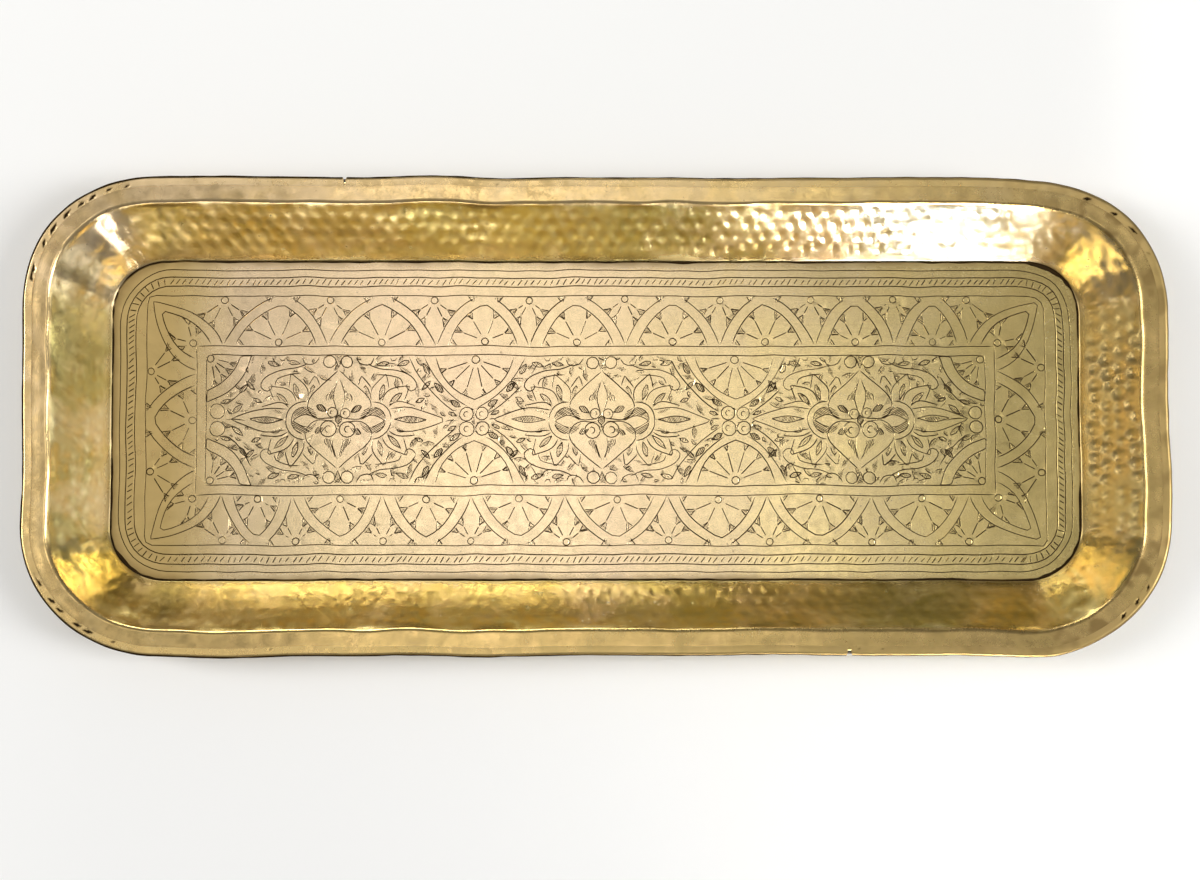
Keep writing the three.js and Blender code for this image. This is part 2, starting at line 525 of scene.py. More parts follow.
def pleat_relief(s, inset):
    """Short slanted pleats where the strip was gathered round the corners: a ridge beside a dent."""
    relief = np.zeros(s.shape)
    for centre, level, slope, amount in PLEATS:
        gap = np.mod(s - centre + LOOP / 2, LOOP) - LOOP / 2
        along_it = (gap * slope + (inset - level)) / math.hypot(slope, 1)
        across = (gap - slope * (inset - level)) / math.hypot(slope, 1)
        fade = amount * np.exp(-(along_it / 2.0) ** 2)
        ridge = np.exp(-((across + 0.85) / 0.75) ** 2)
        relief += fade * (0.35 * ridge - 0.6 * np.exp(-((across - 0.5) / 0.95) ** 2))
    return relief


def nose_point(radius, degrees):
    """A point of the section on a circle about the wire, at an angle from straight outwards."""
    angle = math.radians(degrees)
    return NOSE_RADIUS - radius * math.cos(angle), EDGE_LEVEL + radius * math.sin(angle)


def strip_section():
    """The folded section as (inset, height) points: its outside, then its inside."""
    sheet_top = EDGE_LEVEL + EDGE_RISE + SHEET / 2 + 0.08
    sheet_under = EDGE_LEVEL + EDGE_RISE - SHEET / 2 - 0.08
    outside = [(STRIP_WIDTH, sheet_under - 0.16), (4.4, sheet_under - 0.4), (3.4, sheet_under - 0.8)]
    outside += [nose_point(NOSE_RADIUS, -112 + 216 * i / 12) for i in range(13)]
    outside += [(2.9, TOP - 0.13), (3.6, TOP - 0.21), (4.3, TOP - 0.3), (STRIP_WIDTH, sheet_top + 0.02)]
    hollow = NOSE_RADIUS - STRIP_THICKNESS
    inside = [(STRIP_WIDTH - 0.05, sheet_top), (3.2, sheet_top)]
    inside += [nose_point(hollow, 95 - 210 * i / 8) for i in range(9)]
    inside += [(3.4, sheet_under), (STRIP_WIDTH - 0.05, sheet_under)]
    return outside, inside


def joint_shape(inset, front):
    """Half of the joint's width at a point of the section: it opens out at both ends of the cut."""
    half = (FRONT_JOINT_GAP if front else BACK_JOINT_GAP) / 2
    outer = np.exp(-(inset / (1.3 if front else 1.0)) ** 2)
    inner = np.exp(-((STRIP_WIDTH - inset) / 1.2) ** 2)
    return half + (0.45 * outer - 0.7 * inner if front else 0.5 * outer - 0.25 * inner)


def build_strip(name, s_from, s_to, from_front, to_front):
    """One folded strip from joint to joint, each of which is the front one or the back one."""
    outside, inside = strip_section()
    section = np.array(outside + inside)
    rows = len(section)
    columns = int((s_to - s_from) / STRIP_STEP)
    base = np.linspace(s_from, s_to, columns)
    points = np.zeros((columns, rows, 3))
    length = s_to - s_from
    for r, (inset, height) in enumerate(section):
        start_gap = joint_shape(inset, from_front)
        end_gap = joint_shape(inset, to_front)
        s = base + start_gap * np.exp(-(base - s_from) / 6) - end_gap * np.exp(-(s_to - base) / 6)
        s = np.clip(s, s_from + start_gap * 0.999, s_to - end_gap * 0.999)
        level = np.full(columns, height)
        if r < len(outside) and height > EDGE_LEVEL + 0.6:
            spread = min(1.0, max(0.0, (inset - 0.8) / 1.5))
            lowest = -PLEAT_SINK if 2.5 < inset < 4.6 else 0.0
            level += spread * np.maximum(pleat_relief(s, np.full(columns, inset)), lowest)
            level += spread * 0.018 * edge_dents(s, np.full(columns, inset))
        reach = inset - NOSE_SHIFT * nose_wobble(s) * math.exp(-inset / 1.5) * (r < len(outside))
        points[:, r] = ring_at(s, reach, level)
    faces = ring_faces(columns, rows)
    # Each end is closed by faces between the outside and the inside of the fold
    last = (columns - 1) * rows
    pairs = np.round(np.linspace(0, len(outside) - 1, len(inside))).astype(int)
    for k in range(len(inside) - 1):
        ring = list(range(pairs[k], pairs[k + 1] + 1)) + [rows - 2 - k, rows - 1 - k]
        faces.append(tuple(ring))
        faces.append(tuple(last + i for i in reversed(ring)))
    return new_mesh(name, points.reshape(-1, 3), faces, sharp_angle=50)


def build_wire():
    """The wire in the fold, with its ends facing each other at the back."""
    columns = 900
    rows = 12
    gap = 0.5
    s = np.linspace(BACK_MIDDLE + gap / 2, BACK_MIDDLE + LOOP - gap / 2, columns)
    points = np.zeros((columns, rows, 3))
    for r in range(rows):
        angle = 2 * math.pi * r / rows
        inset = NOSE_RADIUS - WIRE_RADIUS * math.cos(angle)
        points[:, r] = ring_at(s, inset, EDGE_LEVEL + WIRE_RADIUS * math.sin(angle))
    return new_mesh("edge_wire_bent", points.reshape(-1, 3), bar_faces(columns, rows), sharp_angle=50)


def build_edge_shade(name, s_from, s_to, from_front, to_front):
    """Painted shade: a black band on the outermost face of the folded edge, highest at the left."""
    margin = {True: FRONT_JOINT_GAP / 2 + 0.6, False: BACK_JOINT_GAP / 2 + 0.6}
    s = np.linspace(s_from + margin[from_front], s_to - margin[to_front], int((s_to - s_from) / 2))
    x, y = in_plan(s, 0.0)
    top = np.radians(np.clip(48 - 0.09 * x + 0.06 * y + 6 * nose_wobble(s), 28, 74))
    bottom = math.radians(-45)
    outer_shares = (0.0, 0.06, 0.2, 0.34, 0.48, 0.62, 0.76, 0.9, 0.97, 1.0)
    section = [(share, 0.06) for share in outer_shares] + [(share, -0.2) for share in (1.0, 0.5, 0.0)]
    points = np.zeros((len(s), len(section), 3))
    for r, (share, rise) in enumerate(section):
        angle = bottom + (top - bottom) * share
        thick = NOSE_RADIUS + (rise if 0 < share < 1 or rise < 0 else -0.03)
        inset = NOSE_RADIUS - thick * np.cos(angle)
        reach = inset - NOSE_SHIFT * nose_wobble(s) * np.exp(-inset / 1.5)
        points[:, r] = ring_at(s, reach, EDGE_LEVEL + thick * np.sin(angle))
    return new_mesh(name, points.reshape(-1, 3), bar_faces(len(s), len(section)), sharp_angle=60)


# ---------- Engraving: drawing tools ----------
# The drawing is a list of cut lines on the floor plan. Shapes laid later hide what is under them.

LINE = 0.58
HATCH_LINE = 0.44


def spline(points, closed=False, step=0.9):
    """A smooth curve through given points."""
    p = np.asarray(points, float)
    if closed:
        p = np.vstack([p[-1], p, p[0], p[1]])
    else:
        p = np.vstack([2 * p[0] - p[1], p, 2 * p[-1] - p[-2]])
    out = []
    for i in range(1, len(p) - 2):
        a, b, c, d = p[i - 1], p[i], p[i + 1], p[i + 2]
        n = max(1, int(np.hypot(*(c - b)) / step))
        u = (np.arange(n) / n)[:, None]
        out.append(0.5 * (2 * b + (c - a) * u + (2 * a - 5 * b + 4 * c - d) * u ** 2
                          + (3 * b - a - 3 * c + d) * u ** 3))
    out.append(p[-2][None])
    return np.vstack(out)


def joined(*parts):
    """Smooth parts that meet in points."""
    line = [spline(part)[:-1] for part in parts]
    line.append(np.asarray(parts[-1][-1], float)[None])
    return np.vstack(line)


def pointed(*parts):
    """A closed outline of smooth parts that meet in points."""
    return np.vstack([joined(*parts)[:-1], np.asarray(parts[0][0], float)[None]])


def circle(x, y, r, start=0.0, turn=2 * math.pi):
    """A circle, or an arc of one."""
    n = max(8, int(abs(turn) * r / 0.8))
    a = start + turn * np.arange(n + 1) / n
    return np.stack([x + r * np.cos(a), y + r * np.sin(a)], 1)


def inside_polygon(polygon, points):
    """Which points lie inside a closed outline."""
    x, y = points[:, 0][:, None], points[:, 1][:, None]
    a, b = polygon[:-1], polygon[1:]
    ay, by = a[:, 1][None], b[:, 1][None]
    crosses = (ay > y) != (by > y)
    with np.errstate(divide="ignore", invalid="ignore"):
        at = a[:, 0][None] + (y - ay) / (by - ay) * (b[:, 0] - a[:, 0])[None]
    return (np.sum(crosses & (at > x), 1) % 2).astype(bool)


def line_length(line):
    return np.hypot(*np.diff(line, axis=0).T).sum()


def along(line, step):
    """The same line with points at even steps."""
    length = np.concatenate([[0], np.cumsum(np.hypot(*np.diff(line, axis=0).T))])
    count = max(2, int(length[-1] / step) + 1)
    at = np.linspace(0, length[-1], count)
    return np.stack([np.interp(at, length, line[:, 0]), np.interp(at, length, line[:, 1])], 1)


class Drawing:
    """Cut lines, and closed shapes that keep the background hatching out."""

    def __init__(self):
        self.lines = []
        self.hatches = []
        self.shapes = []
        self.quiet = []

    def hide(self, polygon):
        """Removes the parts of earlier lines that lie inside a closed outline."""
        low, high = polygon.min(0), polygon.max(0)
        kept = []
        for line in self.lines:
            if (line.max(0) < low).any() or (line.min(0) > high).any():
                kept.append(line)
                continue
            fine = along(line, 0.35)
            hidden = inside_polygon(polygon, fine)
            if not hidden.any():
                kept.append(line)
                continue
            start = None
            for i in range(len(fine) + 1):
                if i < len(fine) and not hidden[i]:
                    start = i if start is None else start
                elif start is not None:
                    if i - start > 3:
                        kept.append(along(fine[start:i], 0.9))
                    start = None
        self.lines = kept

    def shape(self, polygon):
        """A closed shape laid over the drawing so far."""
        self.hide(polygon)
        self.shapes.append(polygon)
        self.lines.append(polygon)

    def line(self, points):
        self.lines.append(np.asarray(points, float))

    def hatch(self, region, angle, pitch, margin, avoid=()):
        """Parallel cuts across a region, less the shapes in `avoid`."""
        cos, sin = math.cos(angle), math.sin(angle)
        turn = np.array([[cos, -sin], [sin, cos]])
        area = region @ turn
        others = [shape @ turn for shape in avoid]
        for level in np.arange(area[:, 1].min() + pitch * 0.6, area[:, 1].max() - pitch * 0.3, pitch):
            own = crossings(area, level)
            if len(own) < 2:
                continue
            marks = [(own[i], own[i + 1]) for i in range(0, len(own) - 1, 2)]
            for other in others:
                if other[:, 1].min() > level or other[:, 1].max() < level:
                    continue
                cut = crossings(other, level)
                for j in range(0, len(cut) - 1, 2):
                    marks = without(marks, cut[j] - margin * 0.5, cut[j + 1] + margin * 0.5)
            for start, end in marks:
                if end - start > 2 * margin + 0.5:
                    a = turn @ np.array([start + margin, level])
                    b = turn @ np.array([end - margin, level])
                    self.hatches.append((a, b))

    def place(self, other, matrix, shift):
        """Copies another drawing in, turned or mirrored by a 2 by 2 matrix and moved."""
        matrix = np.asarray(matrix, float)
        shift = np.asarray(shift, float)
        for kind in ("shapes", "quiet", "lines"):
            getattr(self, kind).extend(line @ matrix.T + shift for line in getattr(other, kind))
        for a, b in other.hatches:
            self.hatches.append((matrix @ a + shift, matrix @ b + shift))


def crossings(polygon, level):
    """Sorted places where a closed outline crosses a level."""
    y0, y1 = polygon[:-1, 1], polygon[1:, 1]
    hit = (y0 > level) != (y1 > level)
    x0, x1 = polygon[:-1, 0][hit], polygon[1:, 0][hit]
    share = (level - y0[hit]) / (y1[hit] - y0[hit])
    return np.sort(x0 + share * (x1 - x0))


def without(spans, low, high):
    """Spans less the part between low and high."""
    kept = []
    for start, end in spans:
        if high <= start or low >= end:
            kept.append((start, end))
            continue
        if start < low:
            kept.append((start, low))
        if high < end:
            kept.append((high, end))
    return kept


UPRIGHT = ((1, 0), (0, 1))


def plan_tree(points):
    """A search tree over points of the plan."""
    tree = KDTree(len(points))
    for i, p in enumerate(points):
        tree.insert((p[0], p[1], 0), i)
    tree.balance()
    return tree


def bezier(a, control, b, count=14):
    """A curve from a to b, drawn towards the control point."""
    a, control, b = (np.asarray(p, float) for p in (a, control, b))
    u = np.linspace(0, 1, count)[:, None]
    return (1 - u) ** 2 * a + 2 * u * (1 - u) * control + u ** 2 * b


def to_line(origin, angle, line):
    """Distance from a point, along a direction, to a line."""
    direction = np.array([math.cos(angle), math.sin(angle)])
    a = line[:-1] - origin
    step = np.diff(line, axis=0)
    cross = direction[0] * step[:, 1] - direction[1] * step[:, 0]
    with np.errstate(divide="ignore", invalid="ignore"):
        r = (a[:, 0] * step[:, 1] - a[:, 1] * step[:, 0]) / cross
        u = (a[:, 0] * direction[1] - a[:, 1] * direction[0]) / cross
    good = (u >= -0.01) & (u <= 1.01) & (r > 0)
    return r[good].min() if good.any() else None


def ray_with_wedge(drawing, origin, angle, start, wall, wedge=4.6, width=4.4):
    """A petal's edge: a line that opens into a hatched wedge on the strap it meets."""
    origin = np.asarray(origin, float)
    reach = to_line(origin, angle, wall)
    if reach is None or reach < start + 2:
        return
    direction = np.array([math.cos(angle), math.sin(angle)])
    spread = width / 2 / reach
    fork = origin + direction * max(start + 0.6, reach - wedge)
    ends = []
    for turned in (angle + spread, angle - spread):
        length = to_line(origin, turned, wall) or reach
        ends.append(origin + length * np.array([math.cos(turned), math.sin(turned)]))
    drawing.line([origin + direction * start, fork])
    inward = (fork + (ends[0] + ends[1]) / 2) / 2
    one, two = (spline([fork, (fork + end) / 2 * 0.72 + inward * 0.28, end], step=1.4) for end in ends)
    drawing.line(one)
    drawing.line(two)
    drawing.hatch(np.vstack([one, two[::-1]]), angle + 0.35, pitch=0.74, margin=0.05)


# ---------- Engraving: the bands of pointed arches ----------

FRAME_X, FRAME_Y = 214.0, 40.0
PANEL_X, PANEL_Y = 209.0, 35.0
BAND_X, BAND_Y = 241.0, 67.0
BAND = BAND_Y - FRAME_Y
STRAP = 4.9
APEX_GAP = 2.9
CIRCLE = 1.9
FAN = (-146, -118, -64, -36)  # Directions of the petals, in degrees
BACK_FEET = (-200, -143.5, -86, -36, 16, 67, 117.5, 160, 200)
BACK_APEXES = (-168, -115, -59, -11, 41, 90, 139, 181)
FRONT_FEET = (-200, -162, -114, -67, -16.5, 38, 92, 147, 200)
FRONT_APEXES = (-181, -136, -91, -41, 12, 67, 120, 176)


def arch_side(foot, apex, gap, drop):
    """One edge of an arch strap, from its foot on the frame line to its apex."""
    top = BAND - drop
    reach = apex - gap * (1 if apex > foot else -1)
    return bezier((foot, 0), (foot + 0.3 * (reach - foot), 0.72 * top), (reach, top))


def arch_row(feet, apexes):
    """A row of pointed strap arches with fans inside and between them, on u along and v across."""
    art = Drawing()
    for i, apex in enumerate(apexes):
        a, b = feet[i], feet[i + 1]
        outer = np.vstack([arch_side(a, apex, APEX_GAP, 0), arch_side(b, apex, APEX_GAP, 0)[::-1]])
        thick = STRAP * 1.25
        inner = np.vstack([arch_side(a + thick, apex, 0, 4.4),
                           arch_side(b - thick, apex, 0, 4.4)[::-1][1:]])
        art.line(outer[:14])
        art.line(outer[14:])
        art.line(inner)
        art.shapes.append(np.vstack([outer, inner[::-1], outer[:1]]))
        middle = ((a + b) / 2 + apex) / 2
        centre = (middle, CIRCLE + 0.3)
        art.line(circle(*centre, CIRCLE))
        for degrees in (156, 117, 66, 25):
            ray_with_wedge(art, centre, math.radians(degrees), 4.2, inner)
        for side, foot in ((1, a), (-1, b)):
            edge = foot + side * thick
            wedge = np.array([(edge + side * 1.2, 0.3), (edge + side * 4.8, 0.3), (edge + side * 2.4, 3.6),
                              (edge + side * 1.2, 0.3)])
            art.line(wedge[1:3])
            art.hatch(wedge, 1.2, pitch=0.8, margin=0.12)
            flank = np.array([(apex - side * 4.4, BAND), (apex - side * 9.8, BAND),
                              (apex - side * 6.8, BAND - 4.1), (apex - side * 4.4, BAND)])
            art.line(spline([flank[1], (apex - side * 7.9, BAND - 2.2), flank[2]], step=1.4))
            art.hatch(flank, 1.35 if side > 0 else 1.8, pitch=0.8, margin=0.12)
    for i in range(1, len(feet) - 1):
        walls = np.vstack([arch_side(feet[i], apexes[i - 1], APEX_GAP, 0)[::-1],
                           arch_side(feet[i], apexes[i], APEX_GAP, 0)])
        hanging_fan(art, (apexes[i - 1] + apexes[i]) / 2 * 0.5 + feet[i] * 0.5, walls)
    return art


def hanging_fan(art, u, walls):
    """A small circle at the band's outer edge, with petals that reach to the straps beside it."""
    centre = (u, BAND - CIRCLE - 0.3)
    art.line(circle(*centre, CIRCLE))
    for degrees in FAN:
        ray_with_wedge(art, centre, math.radians(degrees), 3.9, walls)


def corner_arch(long_foot, side_foot):
    """The arch that turns round a corner, and its outer edge along the long band.

    It is drawn on (p, q), measured outwards from the frame's corner.
    """
    art = Drawing()
    tip = BAND - 3.2

    def edge(foot, gap, mirrored):
        top = tip - gap
        line = bezier((foot, 0), (foot + 6, 0.8 * top), (top, top))
        return line[:, ::-1] if mirrored else line

    outer = np.vstack([edge(long_foot, 0, False), edge(side_foot, 0, True)[::-1]])
    inner = np.vstack([edge(long_foot + 6.2, 4.6, False), edge(side_foot + 6.2, 4.6, True)[::-1][1:]])
    art.line(outer)
    art.line(inner)
    art.shapes.append(np.vstack([outer, (0, 0), outer[:1]]))
    centre = (1.6, 1.6)
    art.line(circle(*centre, CIRCLE))
    for degrees in (112, 74, 16, -22):
        ray_with_wedge(art, centre, math.radians(degrees), 3.9, inner, wedge=3.8)
    return art, edge(long_foot, 0, False)


def side_band(drawing, x_sign, side_feet):
    """One middle arch on an end band, with a fan hanging on each side of it."""
    low, high = side_feet
    art = arch_row((low, high), (0.6,))
    for foot, sign in ((low, -1), (high, 1)):
        own = arch_side(foot, 0.6, APEX_GAP, 0)
        drift = bezier((foot, 0), (foot + sign * 8, 0.5 * BAND), (foot + sign * 36, BAND - 3))
        walls = np.vstack([own[::-1], drift]) if sign > 0 else np.vstack([drift[::-1], own])
        hanging_fan(art, foot + sign * 1.5, walls)
    drawing.place(art, ((0, x_sign), (1, 0)), (x_sign * FRAME_X, 0))


def build_bands(drawing):
    drawing.place(arch_row(BACK_FEET, BACK_APEXES), UPRIGHT, (0, FRAME_Y))
    drawing.place(arch_row(FRONT_FEET, FRONT_APEXES), ((1, 0), (0, -1)), (0, -FRAME_Y))
    side_band(drawing, 1, (-26, 27))
    side_band(drawing, -1, (-26, 25))
    for sx in (-1, 1):
        for sy in (-1, 1):
            art, long_edge = corner_arch(-14.0, -13.5)
            row = BACK_APEXES if sy > 0 else FRONT_APEXES
            last = row[-1] if sx > 0 else -row[0]
            near_side = arch_side(-14.0, last - FRAME_X, APEX_GAP, 0)
            hanging_fan(art, -14.5, np.vstack([near_side[::-1], long_edge]))
            drawing.place(art, ((sx, 0), (0, sy)), (sx * FRAME_X, sy * FRAME_Y))


# ---------- Engraving: the middle panel ----------

def lens(a, b, width, bend=0.0):
    """A pointed leaf from a to b."""
    a, b = np.asarray(a, float), np.asarray(b, float)
    side = np.array([-(b - a)[1], (b - a)[0]]) / np.hypot(*(b - a))
    middle = (a + b) / 2 + side * bend
    one = spline([a, middle * 0.98 + a * 0.02 + side * width / 2, b], step=1.1)
    two = spline([b, middle - side * width / 2, a], step=1.1)
    return np.vstack([one, two[1:]])


def hatched_leaf(art, a, b, width, angle):
    """A pointed leaf filled with slanted cuts."""
    leaf = lens(a, b, width)
    art.line(leaf)
    art.hatch(leaf, angle, pitch=0.78, margin=0.05)


def mirrored(points):
    """The same points on the other side of the y axis, in the opposite order."""
    return [(-x, y) for x, y in reversed(points)]


def turned_out(side, level, *points):
    """Points of one quarter of an ornament, given for its back right quarter."""
    return [(side * x, level * y) for x, y in points]


def rosette():
    """A knot of two hearts between two ringed leaves, with lobed leaves and scrolls round it."""
    art = Drawing()
    for side in (-1, 1):
        hub = np.array([side * 18.3, -0.4])
        for degrees, longest, width in ((104, 25.5, 8.5), (74, 26.5, 10.0), (44, 27.5, 10.5),
                                        (19, 25.0, 9.0)):
            for turn in (math.radians(degrees), math.radians(-degrees)):
                way = np.array([side * math.cos(turn), math.sin(turn)])
                reach = min(longest, (PANEL_Y - 5.5) / max(0.1, abs(way[1])))
                art.shape(lens(hub + way * 4, hub + way * reach, width, 0.8 * side))
                hatched_leaf(art, hub + way * 11.6, hub + way * (reach - 5.6), 2.9, turn * side + 1.2)
        tip = joined([(12, 5.6), (27, 5.4), (40, 6.4), (58, 0.3)])
        leaf = np.vstack([tip, tip[::-1][1:] * (1, -1), tip[:1]]) * (side, 1)
        art.shape(leaf)
        hatched_leaf(art, (side * 30.2, 0.1), (side * 48.5, 0.4), 3.6, 1.1)
        ring = circle(side * 18.3, -0.4, 10.2)
        art.shape(ring)
        eye = circle(side * 18.3, -0.4, 7.2)
        art.line(eye)
        iris = lens((side * 10.6, -0.4), (side * 25.4, -0.4), 6.6)
        art.line(iris)
        art.hatch(eye, 0.5 * side, pitch=0.8, margin=0.12, avoid=[iris])
        for level in (1, -1):
            stem = spline(turned_out(side, level, (14.5, 30.5), (22, 27.5), (31, 26.5), (38.5, 23.5),
                                     (41.8, 18.6), (39, 15.6), (35.8, 17.4), (37, 20.2)))
            art.line(stem)
            art.line(spline(turned_out(side, level, (19.5, 24.5), (27, 23.8), (33.2, 21.8), (34.2, 17.6))))
            art.shapes.append(circle(side * 38.0, level * 19.0, 4.6))
            for a, b, width, angle in (((20.5, 29.6), (27.5, 30.8), 2.6, 0.9),
                                       ((31.5, 29.2), (38.5, 31.6), 2.8, 2.0),
                                       ((44.8, 16.2), (49.4, 20.8), 2.4, 2.2 * side),
                                       ((41.5, 9.8), (46.5, 11.8), 2.3, 1.3)):
                hatched_leaf(art, *turned_out(side, level, a, b), width, angle)
            art.line(spline(turned_out(side, level, (9.5, 34), (12.2, 30), (17.5, 29.6), (19.4, 34))))
            art.line(spline(turned_out(side, level, (27.5, 34.2), (29.2, 31.2), (31.6, 34))))
            art.shapes.append(np.vstack([stem, stem[:1]]))
    for level, spread, bud in ((1, 1.0, 2.7), (-1, 1.04, 4.3)):
        edge = [(0, 26.6 * level), (4.4 * spread, 22.6 * level), (10.2 * spread, 17.4 * level),
                (15.6 * spread, 12.2 * level), (17.2 * spread, 7.2 * level), (14.8 * spread, 2.6 * level),
                (10.4 * spread, 0.4 * level), (4.6, 0.8 * level), (0, 0.1 * level)]
        art.shape(pointed(edge, mirrored(edge)))
        spine = lens((0, 22.4 * level), (0, 2.4 * level), 6.2)
        for side in (-1, 1):
            web = np.array(turned_out(side, level, (0.6, 21.5), (5.4, 14.2), (6.8, 9.6), (3.0, 10.6),
                                      (0.6, 21.5)))
            art.line(spline([web[1], (side * 6.9, 12.0 * level), web[2]], step=1.2))
            art.hatch(web, 1.25 * side, pitch=0.74, margin=0.1, avoid=[spine])
            hatched_leaf(art, (side * 6.6, 4.2 * level), (side * 12.6, 7.6 * level), 3.4, 0.9 * side * level)
        art.shape(spine)
        for side in (-1, 1):
            art.shape(circle(side * (bud + 0.7), level * (bud + 0.9), bud))
            art.line(circle(side * (bud + 0.9), level * (bud + 0.9), bud * 0.42, 0.6, 4.4))
    diamond = np.array([(0, 2.6), (2.4, 0.2), (0, -2.6), (-2.4, 0.2), (0, 2.6)])
    art.hide(diamond)
    art.line(diamond)
    art.hatch(diamond, 0.8, pitch=0.62, margin=0.1)
    for level in (-1, 1):
        for side in (-1, 1):
            art.shape(circle(side * 4.7, level * 31.0, 3.3))
        gore = np.array(turned_out(1, level, (-2.2, 34.2), (2.2, 34.2), (0.3, 27.6), (-2.2, 34.2)))
        art.line(gore[1:])
        art.hatch(gore, 0.4, pitch=0.7, margin=0.1)
    return art


def medallion():
    """Two pointed double straps that meet at four curls, with a fan inside each."""
    art = Drawing()
    for level in (-1, 1):
        def up(points):
            return [(x, y * level) for x, y in points]

        far = [(-35.5, 34.6), (-31, 25.5), (-24, 16.8), (-16.5, 9.2), (-8, 3.4), (-1, 1.2)]
        art.line(spline(up(far)))
        art.line(spline(up(mirrored(far))))
        outer = [(-27.5, 34.8), (-22.6, 25), (-16.8, 17.4), (-9.4, 10.8), (0, 5.4)]
        inner = [(-21.3, 34.8), (-18.2, 25.6), (-13.6, 19), (-7.6, 14.2), (0, 10.8)]
        whole = np.vstack([pointed(up(outer), up(mirrored(outer)))[:-1],
                           pointed(up(inner), up(mirrored(inner)))[::-1]])
        whole = np.vstack([whole, whole[:1]])
        art.hide(whole)
        art.shapes.append(whole)
        art.line(spline(up(outer)))
        art.line(spline(up(mirrored(outer))))
        edge = np.vstack([spline(up(inner)), spline(up(mirrored(inner)))[1:]])
        art.line(edge)
        for side in (-1, 1):
            for a, b in (((27.6, 30.5), (24.2, 24.0)), ((21.6, 19.8), (16.6, 14.2)),
                         ((13.0, 10.6), (7.4, 7.2))):
                block = lens(*turned_out(side, level, a, b), 3.2)
                art.line(block)
                art.hatch(block, 1.1 * side * level, pitch=0.74, margin=0.05)
        art.quiet.append(np.vstack([edge, edge[:1]]))
        centre = (0.0, 32.2 * level)
        art.line(circle(*centre, 2.1))
        for degrees in (162, 135, 106, 74, 45, 18):
            ray_with_wedge(art, centre, math.radians(-level * degrees), 4.2, edge, wedge=4.4, width=3.4)
    for x, y, r in ((-4.0, 3.4, 3.7), (4.2, 3.4, 3.5), (-3.8, -4.6, 4.0), (4.6, -4.6, 3.7)):
        art.shape(circle(x, y, r))
        art.line(circle(x, y, r * 0.4, 0.4, 4.6))
    for side in (-1, 1):
        art.line(spline([(side * 8.2, 0.2), (side * 12.4, 0.6), (side * 16.8, -0.6), (side * 20.5, 0.4)]))
        hatched_leaf(art, (side * 9.2, 2.6), (side * 14.6, 4.6), 2.2, 1.9 * side)
        hatched_leaf(art, (side * 9.4, -2.8), (side * 14.4, -5.2), 2.2, 1.2 * side)
    return art


def panel_end(ring):
    """Quarter fans in the two corners of one end of the panel, with stems that meet at two curls.

    x runs inwards from the panel's end.
    """
    art = Drawing()
    for level in (-1, 1):
        outer = spline(turned_out(1, level, (24.5, 34.8), (20.4, 24.5), (12, 15.4), (0.3, 9.6)))
        inner = spline(turned_out(1, level, (18.8, 34.8), (15.2, 27.2), (8.6, 20.2), (0.3, 15.6)))
        art.shape(np.vstack([outer, inner[::-1], outer[:1]]))
        art.quiet.append(np.vstack([outer, (0, 35 * level), outer[:1]]))
        centre = (2.4, 32.8 * level)
        art.line(circle(*centre, 2.0))
        for degrees in (-12, -33, -56, -80):
            ray_with_wedge(art, centre, math.radians(degrees * level), 4.0, inner, wedge=4.2)
        art.line(spline(turned_out(1, level, (25.5, 26), (20.5, 17.5), (12.5, 9.4), (6.4, 7.2))))
        hatched_leaf(art, (22.6, 19.6 * level), (17.4, 14.2 * level), 2.6, 0.9 * level)
        hatched_leaf(art, (13.2, 11.0 * level), (7.8, 9.0 * level), 2.4, 2.0 * level)
        art.shape(circle(ring + 1.0, level * (ring - 0.4), ring * 0.82))
        hatched_leaf(art, (13.5, 3.2 * level), (19.6, 8.4 * level), 2.6, 1.9 * level)
    art.line(spline([(9.8, 0.3), (15.2, 0.8), (22, -0.4)]))
    return art


SCATTER_TRIES = 16000
BIG_LEAF_TRIES = 7000


def scatter_leaves(drawing, half_x, half_y, seed):
    """Hatched slivers in whatever background the shapes leave free."""
    rng = np.random.default_rng(seed)
    ink = drawing.lines + [np.stack([a, b]) for a, b in drawing.hatches]
    tree = plan_tree(np.vstack([along(line, 0.7) for line in ink]))
    closed_off = drawing.shapes + drawing.quiet
    placed = []
    for attempt in range(SCATTER_TRIES):
        big = attempt < BIG_LEAF_TRIES
        px, py = rng.uniform(-half_x + 1.5, half_x - 1.5), rng.uniform(-half_y + 1.5, half_y - 1.5)
        turn = rng.uniform(0, math.pi)
        long = rng.uniform(3.4, 4.6) if big else rng.uniform(1.8, 2.8)
        gap = min(tree.find((px, py, 0))[2], half_x - abs(px), half_y - abs(py))
        if gap < (1.7 if big else 1.05):
            continue
        if any(math.hypot(px - x, py - y) < 0.72 * (reach + long) + 0.6 for x, y, reach in placed):
            continue
        spot = np.array([[px, py]])
        if any(inside_polygon(shape, spot)[0] for shape in closed_off
               if shape[:, 0].min() < px < shape[:, 0].max() and shape[:, 1].min() < py < shape[:, 1].max()):
            continue
        scale = min(1.0, gap / (1.9 if big else 1.6))
        half = np.array([math.cos(turn), math.sin(turn)]) * long * scale
        wide = (2.9 if big else 2.3) * scale
        leaf = lens(spot[0] - half, spot[0] + half, wide, rng.uniform(-1.0, 1.0))
        placed.append((px, py, long * scale))
        side = len(leaf) // 2 + 1
        if rng.random() < 0.75:
            drawing.line(leaf[:side])
        drawing.hatch(leaf, turn + 1.1, pitch=0.7, margin=-0.1)


